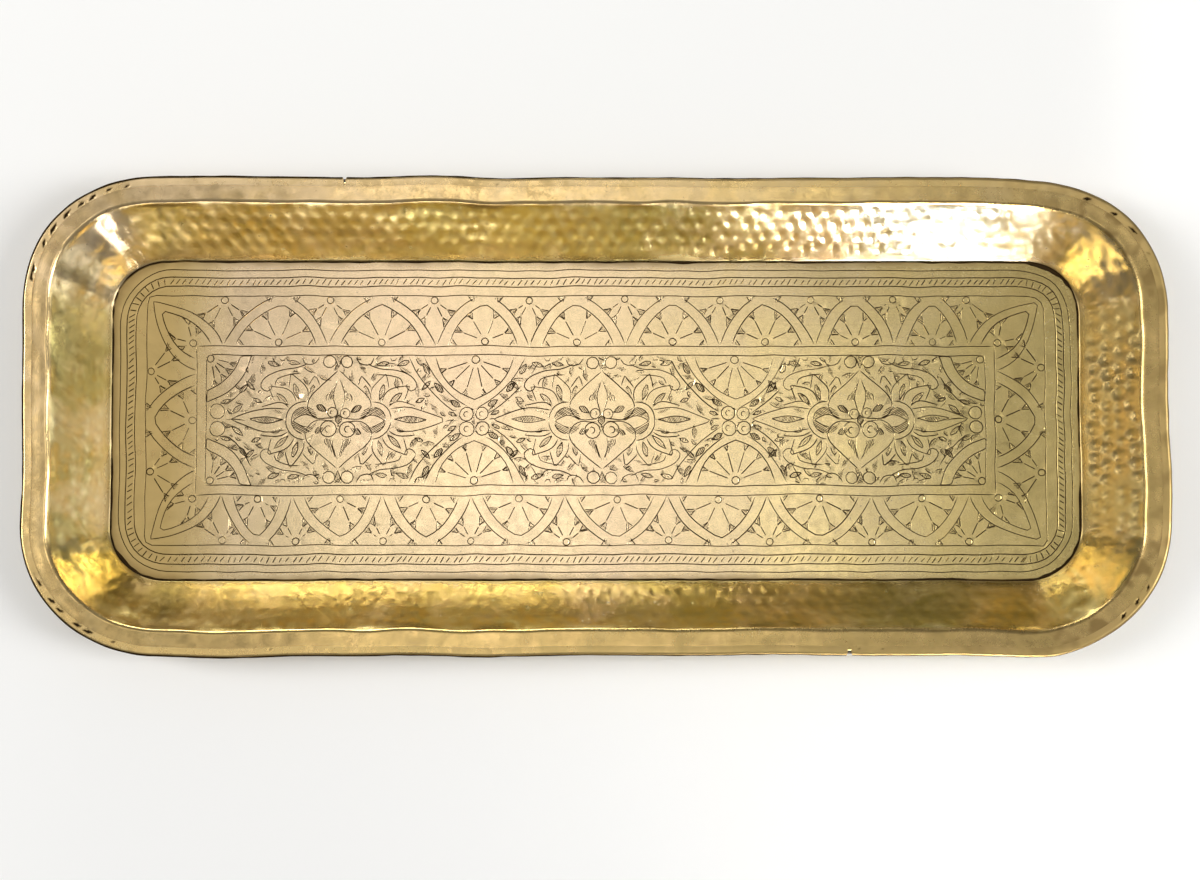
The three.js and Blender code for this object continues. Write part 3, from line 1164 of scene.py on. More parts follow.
def build_panel(drawing):
    panel = Drawing()
    for x, y in ((-65, 0.2), (75, 0.4)):
        panel.place(medallion(), UPRIGHT, (x, y))
    for x, y, mirror in ((-138, 0.4, 1), (3.5, 0.2, -1), (142, 0.5, 1)):
        art = rosette()
        for shape in art.shapes:
            panel.hide(shape * (mirror, 1) + (x, y))
        panel.place(art, ((mirror, 0), (0, 1)), (x, y))
    panel.place(panel_end(5.0), UPRIGHT, (-PANEL_X, 0))
    panel.place(panel_end(4.3), ((-1, 0), (0, 1)), (PANEL_X, 0))
    scatter_leaves(panel, PANEL_X, PANEL_Y, 31)
    drawing.place(panel, UPRIGHT, (0, 0))


# ---------- Engraving: borders ----------

FRAME_STEP = 2.6
ROPE_STEP = 0.5
ROPE_LEAN = 0.62
ROPE_PITCH_ENDS = 3.15
ROPE_PITCH_SIDES = 3.45


def rounded_frame(half_x, half_y, radii):
    """A rectangle with its own radius at each corner, from the front right corner anticlockwise."""
    line = []
    for corner, ((sx, sy), r) in enumerate(zip(((1, -1), (1, 1), (-1, 1), (-1, -1)), radii)):
        start = (corner - 1) * math.pi / 2
        steps = max(1, int(r * 1.6 / 1.2))
        for i in range(steps + 1):
            a = start + i / steps * math.pi / 2
            line.append((sx * (half_x - r) + r * math.cos(a), sy * (half_y - r) + r * math.sin(a)))
    line.append(line[0])
    return along(np.array(line), FRAME_STEP)


def rope_border(drawing):
    """Slanted cuts in the band between two lines."""
    middle = along(rounded_frame(249.2, 74.5, (20, 20, 20, 20)), ROPE_STEP)
    step = np.diff(middle, axis=0)
    heading = np.arctan2(step[:, 1], step[:, 0])
    rng = np.random.default_rng(41)
    at = 0.0
    while at < ROPE_STEP * (len(step) - 1):
        i = int(at / ROPE_STEP)
        x, y = middle[i]
        at_end = abs(math.cos(heading[i])) < 0.5
        lean = -ROPE_LEAN if x < -240 and at_end else ROPE_LEAN
        if abs(x) > 231 and abs(y) > 57:
            lean *= 0.2
        direction = heading[i] + math.pi / 2 - lean + rng.normal(0, 0.07)
        half = rng.uniform(1.7, 2.1)
        d = np.array([math.cos(direction), math.sin(direction)]) * half
        p = np.array([x, y]) + rng.normal(0, 0.12, 2)
        drawing.line([p - d, p + d])
        at += (ROPE_PITCH_ENDS if at_end else ROPE_PITCH_SIDES) + rng.normal(0, 0.22)


def build_borders(drawing):
    for half_x, half_y, radii in (
        (255, 81, (28, 28, 28, 28)), (251.5, 77, (23, 23, 23, 23)), (247, 72, (18, 18, 18, 18)),
        (BAND_X, BAND_Y, (2, 8, 2, 4)),
    ):
        drawing.line(rounded_frame(half_x, half_y, radii))
    for half_x, half_y, over in ((FRAME_X, FRAME_Y, 0.7), (PANEL_X, PANEL_Y, 0.4)):
        for level in (-1, 1):
            for ends in (((-half_x - over, level * half_y), (half_x + over, level * half_y)),
                         ((level * half_x, -half_y - over), (level * half_x, half_y + over))):
                drawing.line(along(np.array(ends), FRAME_STEP))


hand_x = ripple_2d(51, 14, 90, 14)
hand_y = ripple_2d(52, 14, 90, 14)
HAND = 0.36


def by_hand(line):
    """The same line as an unsteady hand cuts it."""
    x, y = line[:, 0], line[:, 1]
    return line + HAND * np.stack([hand_x(x, y), hand_y(x, y)], 1)


def build_drawing():
    """All the cuts on the floor: (line, width, is_hatch)."""
    drawing = Drawing()
    build_borders(drawing)
    rope_border(drawing)
    build_bands(drawing)
    build_panel(drawing)
    rng = np.random.default_rng(53)
    cuts = []
    for line in drawing.lines:
        if len(line) < 2 or line_length(line) < 0.5:
            continue
        line = line + rng.normal(0, 0.1, 2)
        cuts.append((by_hand(line), LINE * rng.uniform(0.8, 1.15), False))
    for a, b in drawing.hatches:
        line = np.stack([a, b]) + rng.normal(0, 0.07, (2, 2))
        cuts.append((by_hand(line), HATCH_LINE * rng.uniform(0.75, 1.25), True))
    return cuts


# ---------- Engraved floor ----------

GROOVE_SLOPE = 0.62
FLOOR_SINK = 0.10
FLOOR_SWELL = 0.07
PLATE_TOP_INSET = FLOOR_INSET + 0.9
PLATE_EDGE_INSET = FLOOR_INSET + 0.5
LEDGE_DROP = 0.45
UNDER_SPACING = 24.0
FLOOR_GRID = 13.0
PLATE_COLUMNS = 560
plate_s = np.arange(PLATE_COLUMNS) * LOOP / PLATE_COLUMNS
floor_swell = ripple_2d(61, 55, 190, 9)
fill_wobble = ripple_2d(62, 12, 90, 12)


def floor_level(x, y):
    """Height of the uncut floor: flat, with a slow hand-beaten swell."""
    return FLOOR_TOP - FLOOR_SINK + FLOOR_SWELL * floor_swell(x, y)


def sides_of(line, half):
    """Points at half a cut's width to the left and to the right of each of its points."""
    ahead = np.vstack([line[1:] - line[:-1], line[-1:] - line[-2:-1]])
    behind = np.vstack([line[1:2] - line[:1], line[1:] - line[:-1]])
    heading = ahead / np.hypot(*ahead.T)[:, None] + behind / np.hypot(*behind.T)[:, None]
    size = np.hypot(*heading.T)[:, None]
    heading = heading / np.maximum(size, 0.3)
    side = np.stack([-heading[:, 1], heading[:, 0]], 1) * half
    return line + side, line - side


def cut_points(line, hatch):
    """The corners of a cut: its points from tip to tip, kept few."""
    length = line_length(line)
    closed = np.hypot(*(line[0] - line[-1])) < 0.05
    if not hatch and (len(line) > 2 or length > 6):
        bend = np.abs(np.diff(np.unwrap(np.arctan2(*np.diff(line, axis=0).T[::-1])))).sum() / length
        points = along(line, 4.0 if bend < 0.06 else 2.1 if bend < 0.35 else 1.3)
        if len(points) > 3:
            return points, closed
    return along(line, length / 4)[:5] if len(line) > 2 else ends_and_tips(line, length), False


SHORT_CUT = 3.1


def ends_and_tips(line, length):
    """A straight cut's ends, with a point between them or, on a longer cut, a point near each."""
    a, b = line[0], line[-1]
    if length < SHORT_CUT:
        return np.stack([a, (a + b) / 2, b])
    tip = min(0.45, 0.25 * length) / length
    return np.stack([a, a + (b - a) * tip, b + (a - b) * tip, b])


def build_floor(cuts):
    """A closed plate with the cuts as V grooves in its top."""
    rim = ring_at(plate_s, PLATE_TOP_INSET + crease(plate_s), 0.0, FOOT_SHARE)[:, :2]
    under = ring_at(plate_s, PLATE_EDGE_INSET + crease(plate_s), PLATE_UNDERSIDE, FOOT_SHARE)
    verts = [tuple(p) for p in rim]
    depth = {}
    edges = []
    middles = []
    for line, width, hatch in cuts:
        points, closed = cut_points(line, hatch)
        left, right = sides_of(points, width / 2)
        n = len(points)
        first = len(verts)
        verts += [tuple(p) for p in points]
        for i in range(n):
            tip = not closed and i in (0, n - 1)
            depth[first + i] = 0.0 if tip else width / 2 * GROOVE_SLOPE
        if n == 3:
            body = points[1] + (points[2] - points[0]) * np.array([[-0.2], [0.0], [0.2]])
        else:
            body = along(points if closed else points[1:-1], 0.14)
        middles.append(np.column_stack([body, np.full(len(body), width / 2)]))
        edges += [(first + i, first + i + 1) for i in range(n - 1)]
        for bank in (left, right):
            start = len(verts)
            verts += [tuple(p) for p in bank[1:-1]]
            edges += [(start + i, start + i + 1) for i in range(n - 3)]
            edges += [(first, start), (start + n - 3, first + n - 1)]
    x_high, y_high = rim.max(0) - 3
    corner = CORNER_RADIUS - FLOOR_INSET
    for x in np.arange(-x_high, x_high, FLOOR_GRID):
        for y in np.arange(-y_high, y_high, FLOOR_GRID):
            if math.hypot(max(0, abs(x) - ANCHOR_X), max(0, abs(y) - ANCHOR_Y)) < corner - 3:
                verts.append((x, y))
    rim_count = len(rim)
    result = delaunay_2d_cdt([Vector(v) for v in verts], edges, [list(range(rim_count))], 1, 1e-4)
    plan, _, triangles, origins = result[:4]
    plan = np.array([tuple(v) for v in plan])
    middles = np.vstack(middles)
    tree = plan_tree(middles)
    drop = np.zeros(len(plan))
    for i, source in enumerate(origins):
        _, nearest, distance = tree.find((plan[i][0], plan[i][1], 0))
        half = middles[nearest][2]
        beside = half * 0.97 - distance if distance < half * 0.9 else 0.0
        drop[i] = max([beside] + [depth.get(k, 0.0) / GROOVE_SLOPE for k in source])
    drop *= GROOVE_SLOPE
    top = floor_level(plan[:, 0], plan[:, 1]) - drop
    points = [(p[0], p[1], z) for p, z in zip(plan, top)]
    number = {}
    for i, source in enumerate(origins):
        for k in source:
            if k < rim_count:
                number[k] = i
    faces = [tuple(t) for t in triangles]
    ledge = len(points)
    points += [(x, y, FLOOR_TOP - LEDGE_DROP) for x, y, _ in under]
    foot = len(points)
    points += [tuple(p) for p in under]
    for i in range(PLATE_COLUMNS):
        j = (i + 1) % PLATE_COLUMNS
        faces.append((number[j], number[i], ledge + i, ledge + j))
        faces.append((ledge + j, ledge + i, foot + i, foot + j))
    add_fill(points, faces, foot, under, UNDER_SPACING, True)
    return new_mesh("pan_floor_engraved", points, faces, sharp_angle=13)


PATINA_TIP_SINK = 0.03
PATINA_TIP_SHARE = 0.25


def build_patina(cuts):
    """Dark wax and tarnish lying in the bottoms of the cuts, as closed ribbons."""
    points = []
    faces = []
    rng = np.random.default_rng(63)
    for line, width, hatch in cuts:
        centre, closed = cut_points(line, hatch)
        fill = 0.88 + 0.08 * float(fill_wobble(*centre.mean(0))) + rng.normal(0, 0.04)
        fill = min(0.97, max(0.62, fill))
        half = width / 2 * fill
        if not closed:
            inset = 0.1 / max(0.3, np.hypot(*(centre[1] - centre[0])))
            centre = centre.copy()
            centre[0] = centre[0] + (centre[1] - centre[0]) * inset
            centre[-1] = centre[-1] + (centre[-2] - centre[-1]) * inset
        left, right = sides_of(centre, half)
        base = floor_level(centre[:, 0], centre[:, 1])
        surface = base - width / 2 * GROOVE_SLOPE * (1 - fill) - 0.004
        bottom = base - width / 2 * GROOVE_SLOPE - 0.03
        n = len(centre)
        first = len(points)
        for i in range(n):
            if not closed and i in (0, n - 1):
                level = base[i] - PATINA_TIP_SINK
                a = centre[i] + (left[i] - centre[i]) * PATINA_TIP_SHARE
                b = centre[i] + (right[i] - centre[i]) * PATINA_TIP_SHARE
                points += [(*a, level), (*b, level), (*centre[i], level - 0.08)]
            else:
                points += [(*left[i], surface[i]), (*right[i], surface[i]), (*centre[i], bottom[i])]
        for i in range(n - 1):
            k = first + 3 * i
            faces += [(k, k + 1, k + 4, k + 3), (k + 1, k + 2, k + 5, k + 4), (k + 2, k, k + 3, k + 5)]
        faces += [(first + 2, first + 1, first), tuple(first + 3 * (n - 1) + i for i in range(3))]
    return new_mesh("engraving_patina", points, faces, smooth=False)


def build_crease_tarnish_and_shade():
    """Tarnish and painted shade in the crease round the foot of the wall, a wide smear at some corners."""
    smear = (0.95 * near(plate_s, BACK_RIGHT_CORNER + 24, 40) + 0.5 * near(plate_s, FRONT_LEFT_CORNER, 42)
             + 0.5 * near(plate_s, FRONT_RIGHT_CORNER, 46) + 0.3 * foot_wobble(plate_s))
    smear = np.clip(smear, -0.3, 1.1)
    section = ((0.55 + 0.95 * smear, 1.2), (0.3 + 0.4 * smear, 1.0 + 0.3 * smear),
               (-0.35 - 0.5 * smear, 1.04 + 0.85 * smear), (-0.35, 0.53), (0.55, 0.53))
    points = np.vstack([ring_at(plate_s, FLOOR_INSET + inward + crease(plate_s), level, FOOT_SHARE)
                        for inward, level in section])
    return new_mesh("crease_tarnish_and_shade", points, ring_faces(len(section), PLATE_COLUMNS, closed_rows=True))


# ---------- Materials ----------

class Nodes:
    """Short names for the few shader nodes that the metals use."""

    def __init__(self, name):
        self.material = bpy.data.materials.new(name)
        self.material.use_nodes = True
        self.tree = self.material.node_tree
        self.shader = self.tree.nodes["Principled BSDF"]
        self.place = self.tree.nodes.new("ShaderNodeTexCoord").outputs["Object"]

    def link(self, source, target):
        self.tree.links.new(source, target)

    def stretched(self, scale):
        node = self.tree.nodes.new("ShaderNodeMapping")
        node.inputs["Scale"].default_value = scale
        self.link(self.place, node.inputs["Vector"])
        return node.outputs["Vector"]

    def noise(self, scale, detail=4.0, rough=0.55, vector=None, distortion=0.0):
        node = self.tree.nodes.new("ShaderNodeTexNoise")
        node.inputs["Scale"].default_value = scale
        node.inputs["Detail"].default_value = detail
        node.inputs["Roughness"].default_value = rough
        node.inputs["Distortion"].default_value = distortion
        self.link(vector or self.place, node.inputs["Vector"])
        return node.outputs["Fac"]

    def span(self, value, low, high, to_low=0.0, to_high=1.0):
        node = self.tree.nodes.new("ShaderNodeMapRange")
        node.interpolation_type = "SMOOTHSTEP"
        for name, number in (("From Min", low), ("From Max", high), ("To Min", to_low), ("To Max", to_high)):
            node.inputs[name].default_value = number
        self.link(value, node.inputs["Value"])
        return node.outputs["Result"]

    def math(self, kind, a, b):
        node = self.tree.nodes.new("ShaderNodeMath")
        node.operation = kind
        for i, value in enumerate((a, b)):
            if isinstance(value, (int, float)):
                node.inputs[i].default_value = value
            else:
                self.link(value, node.inputs[i])
        return node.outputs["Value"]

    def mix(self, factor, a, b):
        node = self.tree.nodes.new("ShaderNodeMix")
        node.data_type = "RGBA"
        self.link(factor, node.inputs[0])
        for i, value in ((6, a), (7, b)):
            if isinstance(value, tuple):
                node.inputs[i].default_value = (*value, 1.0)
            else:
                self.link(value, node.inputs[i])
        return node.outputs[2]

    def attribute(self, name):
        node = self.tree.nodes.new("ShaderNodeAttribute")
        node.attribute_name = name
        return node.outputs["Fac"]

    def bump(self, height, distance, strength=1.0, below=None):
        node = self.tree.nodes.new("ShaderNodeBump")
        node.inputs["Strength"].default_value = strength
        node.inputs["Distance"].default_value = distance
        self.link(height, node.inputs["Height"])
        if below is not None:
            self.link(below, node.inputs["Normal"])
        return node.outputs["Normal"]


GOLD = (0.73, 0.575, 0.215)
OLIVE = (0.53, 0.45, 0.165)
PALE = (0.85, 0.69, 0.42)
BLUSH = (0.87, 0.685, 0.47)
PEACH = (0.86, 0.65, 0.385)
TAN = (0.79, 0.57, 0.235)
UMBER = (0.62, 0.455, 0.17)
BROWN = (0.17, 0.105, 0.036)
BLACK = (0.022, 0.013, 0.005)
# Near-white tone of the painted highlight, used where the pale value goes above 1
PAINTED_HIGHLIGHT_WHITE = (0.90, 0.87, 0.76)


def brass(name, tarnish_share, drift, rough_low, rough_high, rub, rub_size):
    """Hand-worked brass: drifting tones, brown tarnish in patches and specks, fine rubbed scratches. Its
    pale attribute also brings painted highlight and reflection, and its tarnish attribute painted shade.
    """
    n = Nodes(name)
    broad = n.noise(9.0, 3.0, 0.5, distortion=0.4)
    medium = n.noise(34.0, 5.0, 0.6, distortion=0.8)
    fine = n.noise(190.0, 4.0, 0.6)
    specks = n.noise(620.0, 3.0, 0.55)
    deep = n.mix(n.span(broad, 0.36, 0.66), GOLD, OLIVE)
    deep = n.mix(n.attribute("warm"), deep, n.mix(n.span(medium, 0.36, 0.66), TAN, UMBER))
    light = n.mix(n.span(broad, 0.36, 0.66), PALE, BLUSH)
    light = n.mix(n.attribute("warm"), light, PEACH)
    pale_and_painted_light = n.math("ADD", n.attribute("pale_and_painted_light"), n.span(medium, 0.3, 0.7, -drift, drift))
    tone = n.mix(n.span(pale_and_painted_light, 0.0, 1.0), deep, light)
    # Pale values above 1 are painted highlight, turned towards near-white
    tone = n.mix(n.span(pale_and_painted_light, 1.0, 1.8), tone, PAINTED_HIGHLIGHT_WHITE)
    patches = n.math("MULTIPLY", n.span(medium, 0.60, 0.36), n.span(fine, 0.40, 0.62))
    soil_and_painted_shade = n.math("MULTIPLY", patches, tarnish_share)
    spotting = n.math("MULTIPLY", n.span(specks, 0.63, 0.74), n.span(medium, 0.44, 0.62))
    soil_and_painted_shade = n.math("MAXIMUM", soil_and_painted_shade, n.math("MULTIPLY", spotting, 0.5))
    # The tarnish attribute brings painted shade as well as tarnish
    soil_and_painted_shade = n.math("MAXIMUM", soil_and_painted_shade, n.attribute("tarnish_and_painted_shade"))
    dark = n.mix(n.span(soil_and_painted_shade, 0.82, 1.0), BROWN, BLACK)
    n.link(n.mix(soil_and_painted_shade, tone, dark), n.shader.inputs["Base Color"])
    wear = n.math("ADD", n.math("MULTIPLY", fine, 0.5), n.math("MULTIPLY", medium, 0.5))
    rough = n.span(wear, 0.34, 0.66, rough_low, rough_high)
    rough = n.math("ADD", rough, n.math("MULTIPLY", soil_and_painted_shade, 0.22))
    n.link(rough, n.shader.inputs["Roughness"])
    scratches = n.noise(60.0, 5.0, 0.7, vector=n.stretched(rub))
    height = n.bump(scratches, rub_size, 0.5)
    height = n.bump(fine, 0.00005, 0.5, below=height)
    height = n.bump(specks, 0.00002, 0.6, below=height)
    n.link(height, n.shader.inputs["Normal"])
    n.shader.inputs["Metallic"].default_value = 1.0
    return n.material


def plain_patina_and_shade(name, colour, rough_low, rough_high):
    """One dark colour with a fine grain, for patina and for painted shade. It doesn't mirror the pale floor
    at a low angle.
    """
    n = Nodes(name)
    n.shader.inputs["Base Color"].default_value = (*colour, 1.0)
    n.shader.inputs["Specular IOR Level"].default_value = 0.0
    grain = n.noise(900.0, 3.0, 0.6)
    n.link(n.span(grain, 0.3, 0.7, rough_low, rough_high), n.shader.inputs["Roughness"])
    n.link(n.bump(grain, 0.00005, 0.7), n.shader.inputs["Normal"])
    return n.material


def iron(name):
    n = Nodes(name)
    rust = n.span(n.noise(260.0, 5.0, 0.65), 0.4, 0.62)
    n.link(n.mix(rust, (0.16, 0.145, 0.13), (0.17, 0.075, 0.03)), n.shader.inputs["Base Color"])
    n.link(n.span(rust, 0.0, 1.0, 0.42, 0.75), n.shader.inputs["Roughness"])
    n.link(n.bump(n.noise(500.0, 4.0, 0.6), 0.00006, 0.8), n.shader.inputs["Normal"])
    n.shader.inputs["Metallic"].default_value = 0.9
    return n.material


# ---------- Where tarnish gathers, and where light and shade are painted ---

def rim_painted_sheen(x, y):
    """Painted reflection: the rim is paler at the left and the back, and keeps its deep colour at the right.
    """
    return np.clip(0.15 - 0.0009 * x + 0.0018 * y, 0.0, 0.7)


def rim_painted_shade(x, y):
    """Painted shade: the rim is browner towards the right and the front."""
    return np.clip(0.08 + 0.0013 * x - 0.0008 * y, 0, 0.42)


def finish(piece, tarnish_and_painted_shade, pale_and_painted_light, warm):
    """Writes the three attributes that the brass materials read."""
    add_attribute(piece, "tarnish_and_painted_shade", tarnish_and_painted_shade)
    add_attribute(piece, "pale_and_painted_light", pale_and_painted_light)
    add_attribute(piece, "warm", warm)


rim_blotches = ripple_2d(31, 5, 22, 18)


def skin_finish(piece, side):
    """Dark at the foot of the wall, as tarnish and as painted shade, and inside the rim, heaviest at some
    corners. The walls' paleness holds painted highlight and shade, and the rim's painted reflection.
    """
    count = len(piece.data.vertices)
    tarnish_and_painted_shade = np.full(count, 0.12 if side > 0 else 0.25)
    pale_and_painted_light = np.full(count, 0.25)
    warm = np.zeros(count)
    heavy = (0.3 + 0.5 * near(column_s, BACK_RIGHT_CORNER, 60) + 0.45 * near(column_s, FRONT_LEFT_CORNER, 55)
             + 0.4 * near(column_s, FRONT_RIGHT_CORNER, 60) + 0.16 * foot_wobble(column_s))
    # Wall paleness: a base tone with random drift, a painted highlight on the back wall right of the middle
    # and at the back left corner, paler on the left wall and darker on the right wall and the back middle as
    # painted light and shade
    tone_and_painted_highlight = (0.24 + 1.5 * near(column_s, BACK_MIDDLE - 185, 80)
              + 0.7 * near(column_s, BACK_LEFT_CORNER - 4, 26) + 0.1 * near(column_s, LEFT_MIDDLE, 90)
              - 0.22 * near(column_s, RIGHT_MIDDLE, 80) - 0.12 * near(column_s, BACK_MIDDLE, 90)
              + 0.1 * strength_wobble(column_s))
    reddish = 0.9 * near(column_s, RIGHT_MIDDLE, 90) + 0.7 * near(column_s, BACK_MIDDLE + 190, 100)
    x, y = in_plan(column_s, FLANGE_WIDTH / 2)
    rim_pale = rim_painted_sheen(x, y)
    for r, (inset, _, _, t) in enumerate(face_line(side)):
        up = t / WALL_LENGTH
        row = np.zeros(COLUMNS)
        if up < 1:
            # Darker towards the foot of the wall: tarnish, and painted shade in the crease
            row += np.exp(-(t / (2.0 + 2.2 * heavy)) ** 1.3) * (0.5 + 0.35 * heavy)
            row += 0.12 * np.clip(heavy, 0, 1) * np.exp(-t / 14)
        rim = math.exp(-((WALL_LENGTH - t) / 1.6) ** 2) if up < 1 else 0
        row += 0.2 * rim * (0.6 + 0.5 * strength_wobble(column_s))
        if side < 0:
            row = row * 0.5 + 0.22
        place = r + 1 if side > 0 else face_ring_count() - 2 - r
        ring = slice(place * COLUMNS, (place + 1) * COLUMNS)
        if up >= 1 and side > 0:
            blotches = np.clip(rim_blotches(column_s, np.full(COLUMNS, inset)), 0, 1)
            row = np.maximum(row, rim_painted_shade(x, y)) + 0.4 * blotches * (0.25 + corner_share(column_s))
        tarnish_and_painted_shade[ring] = np.clip(row, 0, 0.8)
        pale_and_painted_light[ring] = rim_pale if up >= 1 else np.clip(tone_and_painted_highlight, 0, 1.8)
        warm[ring] = 1.0 if up >= 1 else np.clip(reddish, 0, 1)
    finish(piece, tarnish_and_painted_shade, pale_and_painted_light, warm)


def face_ring_count():
    """Rings of the underside skin, whose own face comes last."""
    return 1 + len(face_line(-1)) + len(middle_line()) + 2


def mesh_points(piece):
    """The x, y and z of a piece's points in millimetres."""
    flat = np.zeros(len(piece.data.vertices) * 3)
    piece.data.vertices.foreach_get("co", flat)
    p = flat.reshape(-1, 3) / MM
    return p[:, 0], p[:, 1], p[:, 2]


def inset_of(x, y):
    """Distance inside the regular outline."""
    return CORNER_RADIUS - np.hypot(np.maximum(0, np.abs(x) - ANCHOR_X), np.maximum(0, np.abs(y) - ANCHOR_Y))


def floor_finish(piece):
    """Painted shade towards the crease at the edge of the floor, a painted shadow at its left end, and
    painted reflection that leaves it palest left of the middle.
    """
    x, y, _ = mesh_points(piece)
    # Painted shade towards the crease
    edge = np.exp(-np.maximum(0, inset_of(x, y) - FLOOR_INSET - 0.9) / 1.6)
    patches = np.clip(0.5 + 0.5 * fill_wobble(x, y), 0, 1)
    painted_left_shadow = np.clip((-190 - x) / 40, 0, 1)
    # Painted shadow at the left end, darker and browner, and painted reflection that falls off to the right
    finish(piece, np.clip(edge * (0.25 + 0.5 * patches) + 0.4 * painted_left_shadow, 0, 0.8),
           np.clip(0.86 - 0.0026 * np.maximum(0, x + 20) - 0.7 * painted_left_shadow, 0.0, 1), 0.3 + 0.6 * painted_left_shadow)


def strip_finish(piece):
    """Painted shade: brown on the outer face of the edge, under it, and in the pleats, darkest at the left;
    blotches of tarnish besides.
    """
    outside, inside = strip_section()
    section = np.array(outside + inside)
    columns = len(piece.data.vertices) // len(section)
    # Painted shade on the outer face of the edge and under it
    rows = np.clip((1.35 - section[:, 0]) / 0.6, 0, 1)
    rows = np.maximum(rows, (section[:, 1] < EDGE_LEVEL) * 0.5)
    x, y, z = mesh_points(piece)
    outline_shade_share = np.clip(0.95 - 0.0009 * x + 0.0005 * y, 0.72, 1.0)
    lip = np.tile((section[:, 0] > 2.5) & (section[:, 1] > EDGE_LEVEL), columns)
    highest = np.tile(section[:, 1], columns)
    # Painted shade in the pleats' hollows
    pleats = np.clip((highest - z - 0.045) / 0.05, 0, 1) * lip
    blotches = np.clip(fill_wobble(2 * x, 2 * y), 0, 1) * np.clip(np.abs(x) / 130 - 1, 0.2, 1)
    painted_edge_shade = np.maximum(np.tile(rows, columns) * outline_shade_share, pleats)
    soil_and_painted_shade = np.clip(np.maximum(painted_edge_shade, rim_painted_shade(x, y) + 0.24 * blotches), 0, 1)
    finish(piece, soil_and_painted_shade, rim_painted_sheen(x, y), np.ones(len(x)))


# ---------- Pieces ----------

cuts = build_drawing()
wall_brass = brass("brass_hammered", 0.34, 0.2, 0.13, 0.24, (1.0, 5.0, 5.0), 0.00004)
floor_brass = brass("brass_engraved", 0.05, 0.06, 0.18, 0.26, (1.0, 12.0, 1.0), 0.00005)
edge_brass = brass("brass_edge", 0.3, 0.2, 0.20, 0.34, (1.0, 9.0, 4.0), 0.00010)
dark_patina = plain_patina_and_shade("cut_patina", (0.036, 0.021, 0.008), 0.6, 0.8)
# Dark material for the crease's tarnish and painted shade, and for the painted shade on the folded edge
crease_dark = plain_patina_and_shade("crease_tarnish_and_shade", (0.03, 0.018, 0.007), 0.6, 0.8)

for skin_side in (1, -1):
    skin = keep(build_skin(skin_side), "tray_pan", "pan_brass", wall_brass)
    skin_finish(skin, skin_side)
floor = keep(build_floor(cuts), "tray_pan", "pan_brass", floor_brass)
floor_finish(floor)
keep(build_patina(cuts), "tray_pan", "pan_brass", dark_patina)
keep(build_crease_tarnish_and_shade(), "tray_pan", "pan_brass", crease_dark)
BACK_JOINT = BACK_MIDDLE + JOINT_OFFSET
FRONT_JOINT = FRONT_MIDDLE + JOINT_OFFSET
# Node, both ends round the tray, and whether each end is at the front joint
STRIPS = (("edge_strip_left", BACK_JOINT, FRONT_JOINT + LOOP, False, True),
          ("edge_strip_right", FRONT_JOINT, BACK_JOINT, True, False))
for node, *span in STRIPS:
    strip_finish(keep(build_strip(node + "_bound", *span), node, "strip_brass", edge_brass))
for node, *span in STRIPS:
    # Painted shade: a black band round the outer face of each strip
    keep(build_edge_shade(node + "_patina", *span), node, "strip_brass", crease_dark)
keep(build_wire(), "edge_wire", "wire_iron", iron("iron_wire"))


# ---------- Studio ----------

def stage_floor():
    half = 3500.0
    points = [(-half, -half, 0), (half, -half, 0), (half, half, 0), (-half, half, 0)]
    piece = new_mesh("studio_floor", points, [(0, 1, 2, 3)], smooth=False)
    n = Nodes("studio_paper")
    n.shader.inputs["Base Color"].default_value = (0.92, 0.92, 0.915, 1.0)
    n.link(n.span(n.noise(300.0, 3.0, 0.5), 0.3, 0.7, 0.82, 0.9), n.shader.inputs["Roughness"])
    piece.data.materials.append(n.material)


def softbox(name, centre, target, size, watts, colour=(1.0, 1.0, 1.0), spread=180.0):
    data = bpy.data.lights.new(name, "AREA")
    data.shape = "RECTANGLE"
    data.size, data.size_y = size[0] * MM, size[1] * MM
    data.energy = watts
    data.color = colour
    data.spread = math.radians(spread)
    lamp = bpy.data.objects.new(name, data)
    lamp.location = Vector(centre) * MM
    lamp.rotation_euler = (Vector(target) - Vector(centre)).to_track_quat("-Z", "Y").to_euler()
    bpy.context.scene.collection.objects.link(lamp)


def studio_air():
    """Soft light from all round, brightest overhead."""
    world = bpy.data.worlds.new("studio_air")
    world.use_nodes = True
    nodes, links = world.node_tree.nodes, world.node_tree.links
    direction = nodes.new("ShaderNodeTexCoord")
    split = nodes.new("ShaderNodeSeparateXYZ")
    links.new(direction.outputs["Generated"], split.inputs[0])
    rise = nodes.new("ShaderNodeMapRange")
    rise.interpolation_type = "SMOOTHSTEP"
    for name, number in (("From Min", 0.0), ("From Max", 0.95), ("To Min", 0.17), ("To Max", 0.30)):
        rise.inputs[name].default_value = number
    links.new(split.outputs["Z"], rise.inputs["Value"])
    background = nodes["Background"]
    background.inputs["Color"].default_value = (1.0, 0.985, 0.95, 1.0)
    links.new(rise.outputs["Result"], background.inputs["Strength"])
    bpy.context.scene.world = world


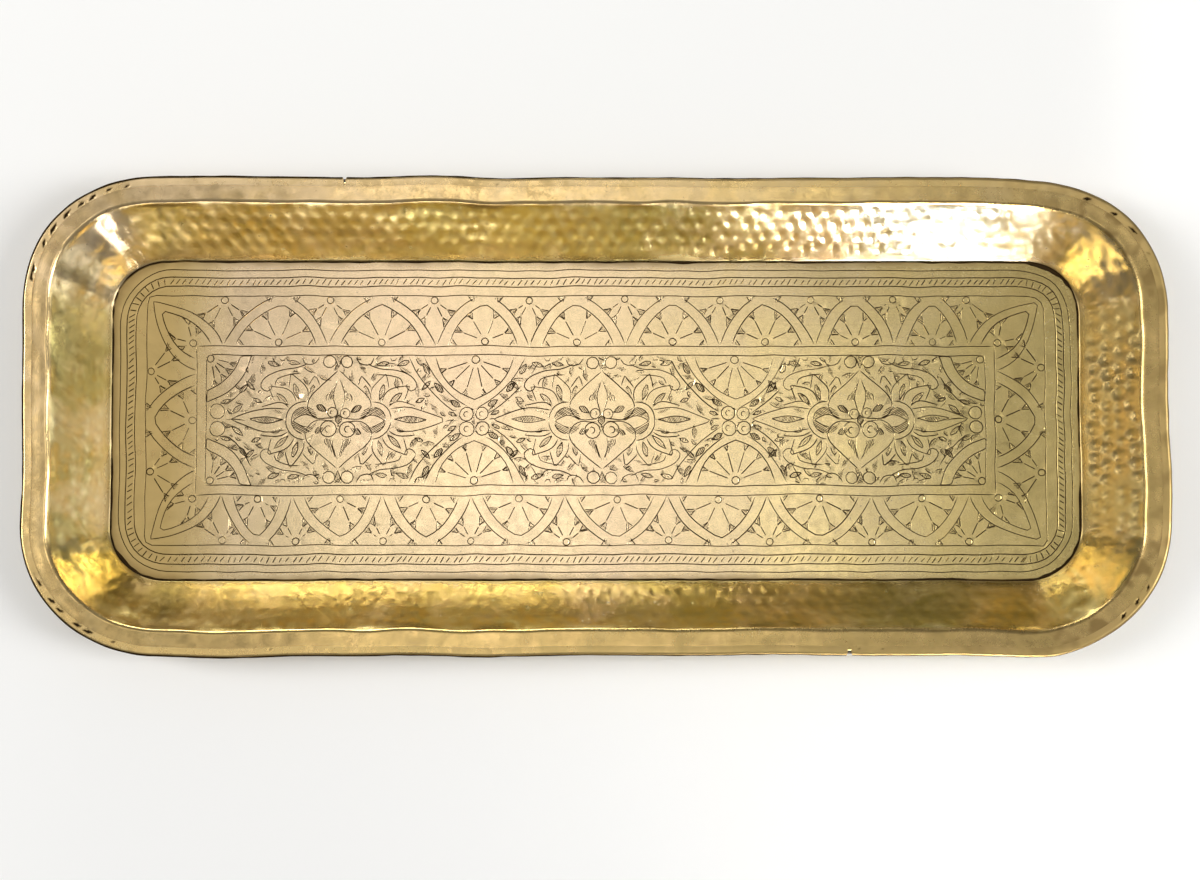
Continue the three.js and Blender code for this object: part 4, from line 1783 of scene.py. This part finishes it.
def studio():
    stage_floor()
    studio_air()
    softbox("overhead", (-130, 150, 2100), (-130, 150, 0), (520, 560), 0.95, (1.0, 0.94, 0.91))
    softbox("overhead_right", (330, 100, 2100), (330, 100, 0), (330, 620), 0.3, (1.0, 1.0, 0.92))
    softbox("overhead_patch", (265, 0, 2050), (265, 0, 0), (120, 420), 0.24, (1.0, 1.0, 0.93))
    softbox("overhead_patch_left", (-205, 10, 2060), (-205, 10, 0), (420, 90), 0.14, (1.0, 1.0, 1.0))
    softbox("overhead_back", (-330, 560, 2050), (-330, 560, 0), (1000, 200), 0.7, (1.0, 0.95, 0.88))
    softbox("overhead_front", (60, -330, 2050), (60, -330, 0), (1100, 170), 0.32, (1.0, 1.0, 0.93))
    softbox("overhead_left", (-800, 40, 2050), (-800, 40, 0), (190, 900), 0.3, (1.0, 0.93, 0.84))
    softbox("front_low", (415, -1200, 230), (215, 100, 20), (220, 260), 0.6, (1.0, 1.0, 0.98), 38.0)
    softbox("front_left_low", (-260, -1200, 230), (-130, 100, 20), (380, 120), 0.042, (1.0, 0.97, 0.9), 36.0)
    softbox("left_low", (-1400, 127, 190), (285, 0, 20), (240, 90), 0.015, (1.0, 0.98, 0.94), 60.0)
    softbox("right_low", (1500, 60, 360), (-285, 0, 20), (500, 400), 0.95, (0.97, 1.0, 0.95))
    softbox("corner_fill", (1150, -750, 320), (-270, 100, 20), (700, 300), 0.03, (0.97, 1.0, 0.95), 40.0)
    softbox("back_low", (-250, 1400, 260), (-100, -100, 20), (700, 160), 5.4, (0.99, 1.0, 0.92))
    softbox("left_high", (-2600, 300, 2500), (0, 0, 0), (1000, 2400), 64)
    softbox("right_high", (2600, -300, 2500), (0, 0, 0), (1000, 2400), 64)
    bpy.context.scene.view_settings.view_transform = "Standard"


CAMERA_HEIGHT = 1310.0
VIEW_WIDTH = 626.6
AIM = (2.35, -12.8)
CAMERA_Y = -100.0


def camera():
    data = bpy.data.cameras.new("photo_view")
    data.sensor_width = 36.0
    place = Vector((AIM[0], CAMERA_Y, TOP + CAMERA_HEIGHT))
    aim = Vector((AIM[0], AIM[1], TOP))
    data.lens = 36.0 * (aim - place).length / VIEW_WIDTH
    view = bpy.data.objects.new("photo_view", data)
    view.location = place * MM
    view.rotation_euler = (aim - place).to_track_quat("-Z", "Y").to_euler()
    bpy.context.scene.collection.objects.link(view)
    bpy.context.scene.camera = view


studio()
camera()
